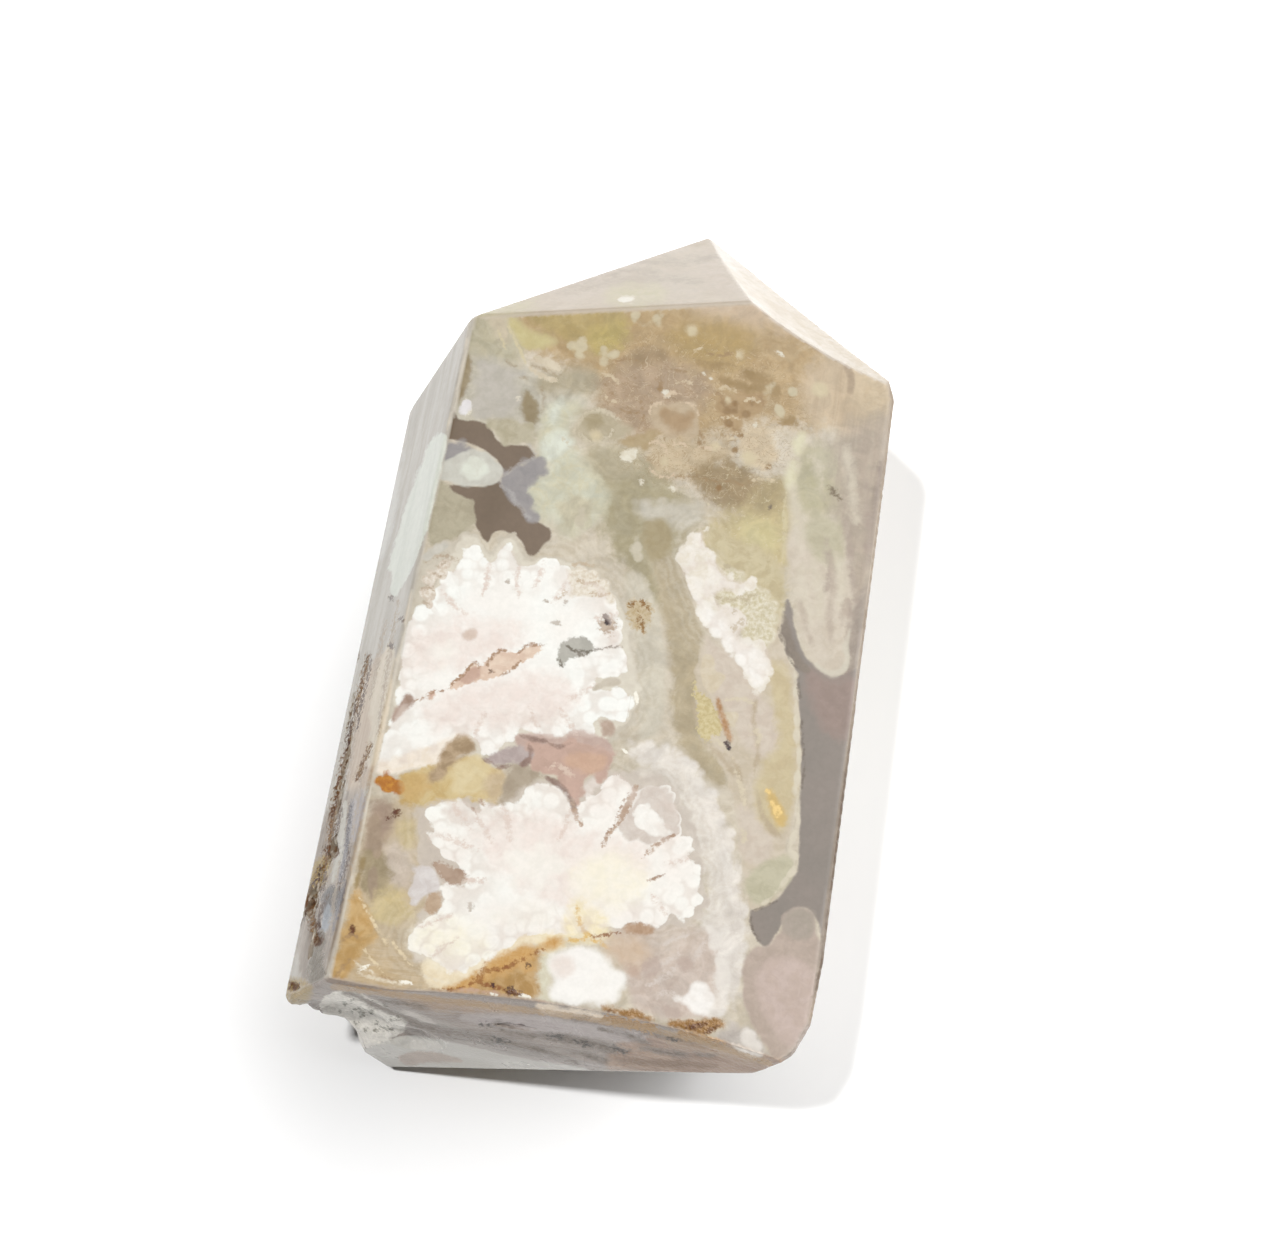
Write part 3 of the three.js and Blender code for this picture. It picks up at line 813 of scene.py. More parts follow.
    rustLine=mark("#be9670 #b0865e", 0.22, 0.2, lines="5 718,700 722,715 727,730 731,741", taper=0.6),
    fingerOne=mark("#d9cebd #d0c4b2", 0.4, 0.2, "785,545 797,590 797,620 803,642 812,660 821,672 835,677 "
        "842,672 847,658 843,642 848,622 854,600 852,570 845,540 820,525 795,525", edge="lobed"),
    fingerOneGreen=mark("#c8c1a8 #c0b89e", 0.5, 0.4, "802,520 838,516 846,545 838,575 818,560 806,545"),
    rightStreaks=mark("#dcd3c0 #d4cab6", 0.5, 0.5, lines="10 792,488 798,520 800,552 / 9 812,560 820,590 "
        "822,620 / 8 846,450 852,480 856,520 / 9 836,556 842,580 840,606 / 7 812,456 820,470 822,490 / 10 "
        "800,566 804,600 810,626", strength=0.7, taper=0.8),
    rightGaps=mark("#b8aa9c #b0a093", 0.3, 0.4, lines="6 848,600 850,620 846,640 / 5 846,520 850,560 856,600 "
        "/ 6 826,540 830,570 828,590 / 5 866,480 868,520 866,570", strength=0.75, taper=0.8),
    edgeNotch=mark("#92847a", 0.4, 0.3, "880,470 890,466 892,486 882,488", strength=0.85),
    fingerOneShade=mark("#c1b3a3", 0.3, 0.3, lines="5 832,560 834,590 828,612 832,640 / 4 800,600 806,625 "
        "812,645 / 5 846,600 842,625", strength=0.8, taper=0.6),
    fingerOneRim=mark("#d6cfbe", 0.14, 0.15, lines="5 816,664 824,672 836,674 845,669 848,658 845,646 "
        "850,630 / 3 843,652 846,640", strength=0.8, taper=0.5),
    fingerTwo=mark("#c4b4a7 #bbab9e", 0.2, 0.15, "766,948 772,938 784,930 780,920 786,914 793,909 802,907 "
        "811,910 816,920 818,940 826,962 860,990 830,1060 790,1080 760,1040 745,1010 741,980 745,955 756,945",
        edge="lobed"),
    fingerTwoTop=mark("#afa598 #b6aa9e", 0.35, 0.3, "782,922 788,913 800,908 811,911 815,924 812,936 798,940 "
        "786,936"),
    fingerTwoRose=mark("#d0beb4 #c8b6aa", 0.5, 0.4, "762,962 790,955 812,972 830,1000 820,1040 790,1050 "
        "766,1020 756,990"),
    # the two flowers
    rimOne=mark("#d6cebe #ccc3b2", 0.15, 0.35, "405,612 416,575 425,550 435,545 455,540 466,531 474,532 "
        "484,545 491,549 497,536 512,533 520,541 528,556 550,554 572,560 600,572 620,592 634,612 634,645 "
        "640,665 640,700 634,728 610,740 605,752 560,760 470,770 388,775 385,715 392,660", edge="lobed",
        strength=0.9),
    rimOneLight=mark("#e7e0d0 #ded6c6", 0.2, 0.3, "455,548 462,538 474,534 484,548 492,556 498,540 510,537 "
        "518,546 524,560 548,557 572,562 600,576 616,594 626,612 630,640 640,672 638,700 630,724 606,734 "
        "604,742 560,745 500,752 404,768 384,770 392,710 404,640 430,590", edge="lobed", strength=0.85),
    flowerOne=mark("#fffff9 #fdf9f2", 0.1, 0.34, "402,640 405,625 412,612 422,606 428,600 433,591 438,585 "
        "440,578 447,570 458,566 461,558 463,550 470,547 478,548 483,555 490,562 495,557 497,548 502,543 "
        "510,543 516,550 518,560 525,565 535,563 545,560 555,560 562,563 570,567 572,574 580,580 592,579 "
        "602,582 608,590 615,600 618,612 622,620 625,630 621,641 626,650 631,660 628,672 620,678 608,676 "
        "598,680 594,688 606,689 618,686 629,691 634,700 632,712 625,720 612,720 600,716 594,720 597,730 "
        "597,740 586,740 575,735 560,740 548,742 540,735 530,730 520,732 515,740 505,745 500,751 495,757 "
        "485,757 478,750 474,742 468,738 458,737 450,742 440,752 430,760 415,765 400,766 388,770 376,770 "
        "380,745 388,722 400,705 398,690 398,660", edge="petal", mix="broad"),
    rimTwo=mark("#d8cec2 #d0c5b9", 0.2, 0.35, "414,805 440,792 470,792 515,792 535,775 556,780 575,792 "
        "590,770 612,766 636,774 662,775 684,800 696,830 702,850 704,880 712,900 700,918 676,928 640,932 "
        "600,940 520,950 490,972 450,985 420,965 402,940 425,910 420,880 415,835", edge="lobed",
        strength=0.8),
    mauveUnderOne=mark("#ceb8ac #c6aea2", 0.22, 0.3, "512,736 524,732 545,735 560,738 576,730 592,735 "
        "604,738 614,748 612,758 560,756 535,756 516,748"),
    creamUnderOne=mark("#faf0e2 #f4e6d4", 0.25, 0.3, "374,762 392,758 412,752 432,745 446,738 462,732 "
        "474,738 470,748 452,756 442,764 424,768 405,772 392,774 376,776", mix="mottle"),
    creamBelow=mark("#f7ead0 #eedec0", 0.3, 0.35, "424,955 440,962 462,950 480,938 505,930 540,922 566,918 "
        "572,932 556,940 536,946 520,950 500,960 486,968 474,980 456,990 436,990 420,974", mix="mottle"),
    creamEast=mark("#e5e0cb #dcd5be", 0.4, 0.3, "536,958 552,950 552,975 548,992 556,1004 540,1002 534,985"),
    flowerTwo=mark("#fffef7 #fbf4ec", 0.11, 0.36, "422,812 430,805 440,800 452,798 462,797 472,803 478,810 "
        "481,800 492,802 500,805 512,803 522,799 525,788 533,781 545,782 556,785 565,790 571,800 574,812 "
        "579,803 588,797 596,794 602,786 607,778 613,771 622,773 632,782 640,790 652,784 664,786 674,798 "
        "681,812 683,826 678,836 690,836 694,845 689,856 698,866 703,880 699,890 704,900 695,905 690,915 "
        "680,920 670,913 667,921 661,928 653,927 643,922 625,924 605,930 590,934 575,936 558,936 540,935 "
        "525,938 513,943 503,950 490,958 478,964 466,972 452,976 440,968 430,960 418,954 408,947 406,936 "
        "416,926 428,919 440,911 445,902 443,892 440,886 455,885 468,884 470,874 458,865 445,856 432,846 "
        "424,838 428,832 436,831", edge="petal", mix="broad"),
    innerPink=mark("#f6e8df #f1e1d8", 0.9, 0.9, "406,640 440,620 500,618 530,632 520,645 490,656 470,664 "
        "430,672 406,672 / 420,712 450,692 520,672 560,676 580,700 560,724 510,730 460,728 430,728 / 470,826 "
        "505,812 555,818 580,828 600,840 640,845 650,870 620,905 560,905 510,880 480,850", strength=0.6),
    innerWhite=mark("#fdf9f0 #faf4ea", 0.6, 0.7, "500,850 540,842 570,856 560,880 530,890 505,876 / 480,905 "
        "530,900 560,912 540,928 500,930 / 430,640 460,648 450,664 424,662", edge="lobed", strength=0.8),
    innerCream=mark("#fffae9 #fdf6e0", 1.1, 0.6, "575,860 620,850 650,880 640,900 600,912 572,892 / 408,930 "
        "440,918 480,930 490,945 480,958 446,968 415,950", strength=0.7),
    petalShade=mark("#e8dcd2 #f0e6dd", 0.3, 0.35, "440,808 462,804 476,816 470,828 450,826 / 490,812 506,808 "
        "512,818 500,826 / 604,634 618,628 622,640 612,650 / 582,782 592,776 600,782 596,792 584,796",
        edge="lobed", strength=0.75),
    rimSpeckHalo=mark("#bca894 #cebeac", 0.3, 0.4, "600,618 610,615 617,621 615,632 606,635 599,628",
        edge="fine"),
    petalLines=mark("#e7d6ca", 0.2, 0.3, lines="4 490,562 488,578 482,596 / 4 520,565 516,580 519,598 / 3.5 "
        "571,575 562,590 552,604 / 3.5 440,590 452,604 466,614 / 4 476,808 480,824 492,842 / 4 502,804 "
        "508,822 510,842 / 4 437,834 458,842 478,850 / 3.5 444,884 466,880 490,880 / 4 571,808 566,826 "
        "558,842 / 3.5 598,684 584,692 568,700 / 3.5 578,735 568,722 560,708 / 3.5 540,732 534,720 530,706 / "
        "3.5 474,740 478,726 486,712 / 3.5 452,796 456,812 470,828 / 3 690,858 678,862 664,862 / 3 668,918 "
        "660,904 650,894 / 3 418,926 436,922 452,914 / 3 430,958 444,946 458,938 / 3 618,614 604,618 592,618 "
        "/ 3 545,562 540,576 532,588", edge="fine", strength=0.7, taper=0.95),
    scalyPatch=mark("#d6c8b6 #eee5d8", 0.12, 0.5, "430,566 445,556 458,560 449,570 440,580 436,594 430,607 "
        "420,602 424,585", edge="lobed", mix="grain"),
    scalyLines=mark("#beac96", 0.1, 0.25, lines="3 423,562 436,556 450,556 460,562 / 3 434,572 440,578 / 3 "
        "422,590 430,586 434,592 / 3 424,600 428,606 / 2.5 448,560 442,566 436,566", edge="fine",
        strength=0.7, taper=0.9),
    greyRimPieces=mark("#ccc7bb #d6d1c5", 0.15, 0.25, "422,556 432,546 446,542 452,548 440,554 428,562",
        edge="lobed"),
    pinkDot=mark("#e2d0c2 #dbc8ba", 0.2, 0.15, "463,631 470,628 477,630 477,637 469,641 462,638"),
    greyDots=mark("#d1c9be #c4baac", 0.12, 0.2, "505,580 509,578 510,583 507,585 / 543,601 548,599 549,602 "
        "545,603 / 551,621 557,620 563,622 559,626 553,625 / 564,601 567,600 567,605 564,605 / 466,904 "
        "473,903 475,909 470,912", edge="fine"),
    tanMottle=mark("#ded0ba #f8f1e4", 0.25, 0.5, "566,575 580,568 598,572 612,586 618,600 600,602 580,596 "
        "562,602 558,597 568,588", edge="lobed", mix="grain", strength=0.8),
    tanMottleLines=mark("#cbb89e", 0.1, 0.25, lines="3 570,588 564,594 558,598 / 2.5 576,580 588,584 600,582 "
        "/ 2.5 590,594 600,596 610,594 / 3 572,566 582,562 594,566", edge="fine", strength=0.7, taper=0.9),
    greyLens=mark("#c1beb4 #b7b4aa", 0.12, 0.15, "557,665 558,650 563,642 572,637 585,637 592,643 594,650 "
        "588,656 578,657 568,658 562,668", edge="fine"),
    lensLine=mark("#80796e", 0.08, 0.14, lines="2.6 566,645 572,650 580,652 592,651 / 2 592,651 604,648 "
        "624,646 / 4 559,660 562,667 / 2 578,655 588,655", edge="fine", strength=0.85),
    fissureOne=mark("#eed9c5 #e2c9b5", 0.1, 0.2, "448,686 455,680 463,673 470,665 476,661 479,668 485,663 "
        "492,655 500,650 510,652 518,655 524,646 545,645 536,656 522,662 515,668 505,673 495,678 480,680 "
        "470,682 460,687 452,690 / 424,698 432,690 437,694 432,700", edge="fine"),
    fissurePink=mark("#d6b9a8 #ceb09e", 0.16, 0.25, "458,680 468,670 476,664 481,672 474,681 464,684 / "
        "424,698 432,690 437,694 432,700"),
    fissureBrown=mark("#b2947c", 0.08, 0.16, lines="3 448,688 455,681 463,674 471,666 476,660 479,668 / 3 "
        "486,666 492,656 501,650 508,651 / 2.8 518,654 524,646 534,644 546,645 / 3.5 488,674 492,670 496,670 "
        "/ 2.4 412,701 424,698 432,692 446,690 / 2 500,676 514,668 522,660", edge="fine", strength=0.85,
        taper=0.6),
    brownGreyLeft=mark("#bca698 #aa9283", 0.18, 0.25, "390,724 396,708 402,698 408,693 414,697 412,704 "
        "405,711 398,720"),
    greyNotch=mark("#cbc1af #d4cbbb", 0.15, 0.2, "590,692 596,684 604,680 616,678 624,682 612,686 600,690",
        edge="lobed"),
    notchBrown=mark("#c8b4a4 #bca796", 0.2, 0.25, "597,720 606,719 614,724 618,734 606,735 600,730",
        edge="lobed"),
    darkDots=mark("#604430 #503624", 0.1, 0.1, dots="606,617,3.4 608,622,3.6 632,605,2.4 491,671,1.8 "
        "513,991,3.4 527,966,2.6 635,970,1.8 650,612,2 727,743,3 729,748,2.6", edge="fine"),
    brownDots=mark("#806242 #705438", 0.14, 0.2, dots="397,813,3.6 353,928,3.4 352,934,2.2 388,818,1.6",
        edge="fine"),
    whiteNick=mark("#ece8e8 #e0dbda", 0.14, 0.25, "461,401 466,399 471,404 471,412 467,417 462,414 459,407",
        edge="lobed"),
    specksPatch=mark("#d4c4a4 #bea882", 0.25, 0.4, "626,604 636,600 650,602 654,612 648,622 646,632 636,630 "
        "628,622", edge="fine", mix="grain", strength=0.85),
    specksDark=mark("#96744e", 0.14, 0.35, lines="3 640,600 645,604 649,610 / 4 639,614 641,622 644,630",
        dots="632,605,2.6 637,611,2.2", edge="fine", strength=0.85),
    # between and below the flowers
    ochreBand=mark("#dcc89b #d0b684", 0.25, 0.45, "403,771 420,768 437,765 446,762 457,760 470,755 479,758 "
        "493,768 504,772 508,787 500,800 492,803 480,801 461,797 450,800 438,801 428,806 416,806 404,794"),
    sandLight=mark("#e5d5ae #ddcba1", 0.4, 0.35, "455,765 462,759 471,755 480,759 490,768 492,780 488,790 "
        "474,795 458,793 450,782", edge="lobed"),
    sandPale=mark("#d6c3a5 #ccb898", 0.5, 0.35, "488,776 500,772 508,776 507,790 498,802 488,800 484,788"),
    oliveBetween=mark("#baad9a #b0a28f", 0.35, 0.35, "512,764 522,764 532,768 542,774 532,781 522,788 "
        "514,797 504,804 497,802 504,790 507,775"),
    goldNearOrange=mark("#ceb278 #c0a068", 0.35, 0.4, "400,774 416,771 424,780 420,796 414,808 406,806 "
        "400,796", mix="grain", strength=0.8),
    greyLilacBand=mark("#c5b8b3 #b8a9a4", 0.18, 0.3, "484,760 494,753 507,747 519,744 532,748 540,756 "
        "534,762 521,764 511,762 503,765 493,765"),
    mauvePink=mark("#cfb2a3 #c6aa9b", 0.2, 0.35, "523,737 541,740 553,744 560,743 576,735 579,744 593,744 "
        "604,747 616,754 613,769 607,778 600,784 593,775 584,783 580,803 573,804 567,789 556,780 546,774 "
        "533,768 527,761 532,754 525,747", edge="lobed"),
    salmonPatch=mark("#d5b59e #cead97", 0.3, 0.3, "562,756 585,752 606,755 606,768 588,774 570,768"),
    salmonLight=mark("#e2cdbc", 0.15, 0.25, lines="4 548,768 558,764 566,770 574,776", edge="fine",
        strength=0.7),
    mauveLine=mark("#a0887e #947e74", 0.14, 0.2, lines="4 495,766 503,767 511,765 / 6 529,746 532,754 "
        "526,764 520,764 / 5.5 540,774 548,778 558,783 567,792 573,804 577,817 / 3 548,744 560,747 572,742 / "
        "4 520,735 534,739 548,742 / 3 482,757 488,761 494,763", strength=0.85, taper=0.8),
    brownUnderOne=mark("#c2ac90 #a89277", 0.28, 0.3, "437,768 443,750 450,741 459,736 469,735 477,749 "
        "470,754 461,756 450,767 442,778 433,783 426,781 430,771"),
    orangeSpot=mark("#d09856 #b87c3c", 0.18, 0.4, "377,780 380,774 386,772 394,776 402,779 407,785 404,793 "
        "395,792 384,791 378,787", edge="lobed", mix="grain"),
    orangeDeep=mark("#b07634 #be8642", 0.2, 0.3, dots="386,774,3 398,789,4.5 381,783,2.4", mix="grain",
        strength=0.8),
    orangeHalo=mark("#d6b886", 0.4, 0.4, "400,776 424,770 432,784 420,802 404,800", strength=0.6),
    gapsTwo=mark("#bea896 #b29a88", 0.15, 0.25, "430,861 440,862 450,867 463,870 466,879 460,884 446,883 "
        "440,875", edge="fine"),
    gapTwoLow=mark("#ceb8a0 #c2aa92", 0.15, 0.2, "425,903 430,893 438,892 443,900 440,908 430,915 424,910",
        edge="fine"),
    lilacTwo=mark("#e6e0dc #dbd3ce", 0.2, 0.3, "410,874 420,862 432,868 440,878 440,888 428,893 422,903 "
        "412,906", edge="lobed"),
    petalTwoShade=mark("#e2d8ce #d8ccc1", 0.2, 0.3, "638,792 645,784 660,783 672,795 680,812 680,828 674,836 "
        "664,842 650,846 636,840 622,838 618,828 628,812", edge="lobed"),
    petalTwoWhite=mark("#fefbf4 #f9f3eb", 0.14, 0.25, "632,815 636,807 645,804 653,808 655,815 662,820 "
        "670,828 672,836 665,840 655,836 645,832 637,828 / 668,846 680,837 690,838 692,846 686,853 674,854",
        edge="lobed"),
    cracksTwo=mark("#c8b29e #bca38f", 0.14, 0.2, lines="7 637,786 630,800 623,814 616,826 / 3.6 618,824 "
        "609,833 603,846 / 3.6 676,834 664,840 653,847 643,858 / 4 573,800 575,814 582,826 / 3.4 484,806 "
        "480,800", edge="fine", taper=0.8),
    cracksTwoFine=mark("#b09480", 0.08, 0.15, lines="2.4 634,786 626,798 619,810 616,822 606,834 601,847 / "
        "2.4 678,833 666,838 656,845 / 2.2 645,881 656,878 667,874 / 2.2 622,925 636,923 650,926 / 2 472,806 "
        "476,814", edge="fine", strength=0.75, taper=0.9),
    yellowStar=mark("#fcf0ce #f7e7be", 0.6, 0.5, "570,905 584,900 604,915 612,932 596,944 576,942 560,940 "
        "566,924 / 534,938 560,932 568,944 552,952 536,950", strength=0.75),
    yellowStarLines=mark("#e4c07e", 0.14, 0.2, lines="3.4 577,906 578,920 583,930 591,936 / 3 591,936 "
        "580,940 568,940 / 2.6 589,938 602,944 612,950", edge="fine", strength=0.85, taper=0.9),
    whiteBlob=mark("#fffcf6 #f9f3ec", 0.4, 0.3, "545,960 555,950 575,945 590,944 605,952 612,965 625,970 "
        "629,982 622,995 610,1003 590,1005 570,1009 555,1003 547,990 553,980 546,970", edge="lobed",
        mix="broad"),
    blobShade=mark("#f3e7de", 0.4, 0.3, "553,958 572,955 576,970 562,980 553,972", strength=0.8),
    brownishLow=mark("#ceb085 #b89668", 0.35, 0.4, "440,998 470,978 500,960 535,945 541,962 536,980 545,998 "
        "500,1000 460,1002"),
    orangeZone=mark("#dbc6b0 #d3bca4", 0.9, 0.4, "604,944 624,936 646,940 648,960 634,972 622,964 610,954"),
    orangeBand=mark("#c7ac94 #b89a80", 0.25, 0.3, "622,926 636,922 650,925 656,931 645,936 626,933"),
    orangeCrack=mark("#dcb680 #cea26a", 0.5, 0.45, lines="17 488,972 505,964 520,956 532,950 / 11 445,996 "
        "460,988 475,980 490,974 / 7 535,950 548,944 560,940 / 7 524,966 530,968", taper=0.4),
    orangeCore=mark("#a47442 #8e6236", 0.12, 0.25, lines="4 468,986 478,977 487,971 500,969 511,966 522,959 "
        "533,954 / 2 533,954 544,949 / 2.5 590,937 604,936 620,932 / 3.4 438,992 452,990 466,987 / 3.4 "
        "484,964 483,974 478,982 / 4 474,982 490,986 506,989", edge="fine", strength=0.7, taper=0.8),
    darkPeg=mark("#5c4624 #765c36", 0.14, 0.25, dots="513,991,3.6 508,989,2.4 528,965,2.4 493,986,2",
        edge="fine", mix="grain", strength=0.9),
    pinkLine=mark("#d6bcaa #c8ac98", 0.14, 0.2, lines="3.6 474,990 490,993 508,996 / 3 452,991 466,990 "
        "478,991 / 4 530,1000 542,1002 552,1005", strength=0.8, taper=0.6),
    footVeils=mark("#e0d6cd", 0.25, 0.35, lines="4 642,975 654,968 668,962 680,952 / 3 648,985 664,978 "
        "678,966 / 4 664,945 676,938 690,934 / 3 690,962 700,952 706,940 / 3 656,996 668,992 676,996",
        edge="fine", strength=0.6, taper=0.9),
    footWarm=mark("#c4ac9a #ceb8a8", 0.3, 0.4, "624,966 634,962 642,970 638,978 628,976", strength=0.7),
    whiteCrescent=mark("#fdf9f3 #f6f0e9", 0.3, 0.25, "691,983 698,979 706,984 713,995 714,1008 710,1016 "
        "700,1015 690,1010 680,1003 671,1000 682,996 691,992", edge="lobed"),
    footWhites=mark("#ece5dc", 0.25, 0.35, "714,960 726,956 734,972 730,992 718,990 / 706,925 722,930 "
        "722,950 710,948 / 736,1030 748,1026 758,1036 764,1052 752,1056 742,1044", edge="lobed",
        strength=0.8),
    footMauve=mark("#c4b2a6", 0.25, 0.4, "640,962 656,956 664,966 654,978 642,976 / 676,960 690,956 694,968 "
        "682,974 / 664,1002 676,1006 688,1014 680,1020 664,1016", strength=0.7),
    amberLine=mark("#eeddbc", 0.08, 0.12, lines="2.6 359,897 368,912 378,930 388,946 / 2.4 388,936 400,952 "
        "412,966 / 2.4 362,946 372,960 384,972", edge="fine", strength=0.8),
    footFibres=mark("#ece1cc", 0.1, 0.12, lines="3 356,972 372,978 392,982 412,984 / 2.4 372,988 392,992 "
        "412,992 432,988 / 2.4 352,960 366,970 378,974 / 2.4 420,974 436,980 450,984", edge="fine",
        strength=0.7, taper=0.9),
    footShadows=mark("#b29676", 0.12, 0.15, lines="3 348,985 370,990 400,994 / 2.6 380,976 396,980 / 3 "
        "330,990 340,970 352,958 / 3 340,942 350,934 362,938 / 3 424,990 440,990 450,994", edge="fine",
        strength=0.7, taper=0.9),
    # painted highlights: small near-white glints of light on the front's lower edge and on its polish
    paintedHighlightSlivers=mark("#fffaec", 0.06, 0.08, lines="3 398,981 406,982 414,984 / 2.6 486,993 498,996 / 6 "
        "519,996 525,997 530,999 / 3 356,971 364,968 371,964 / 4.5 636,692 637,704 / 3 622,748 627,753",
        edge="fine"),
    footOchre=mark("#ae8a60 #a07a4e", 0.25, 0.4, lines="9 606,1010 618,1013 640,1017 652,1020 / 12 672,1024 "
        "690,1026 706,1027 722,1024 / 7 500,1000 520,1002 540,1004", taper=0.3, rough=0.4),
    footDark=mark("#7e5c38 #6c4c2e", 0.15, 0.3, lines="6 686,1026 698,1027 706,1024 / 4 706,1030 718,1027 / "
        "4.5 606,1011 614,1013 / 4 508,991 520,994", edge="fine", strength=0.85, taper=0.6, rough=0.6),
)
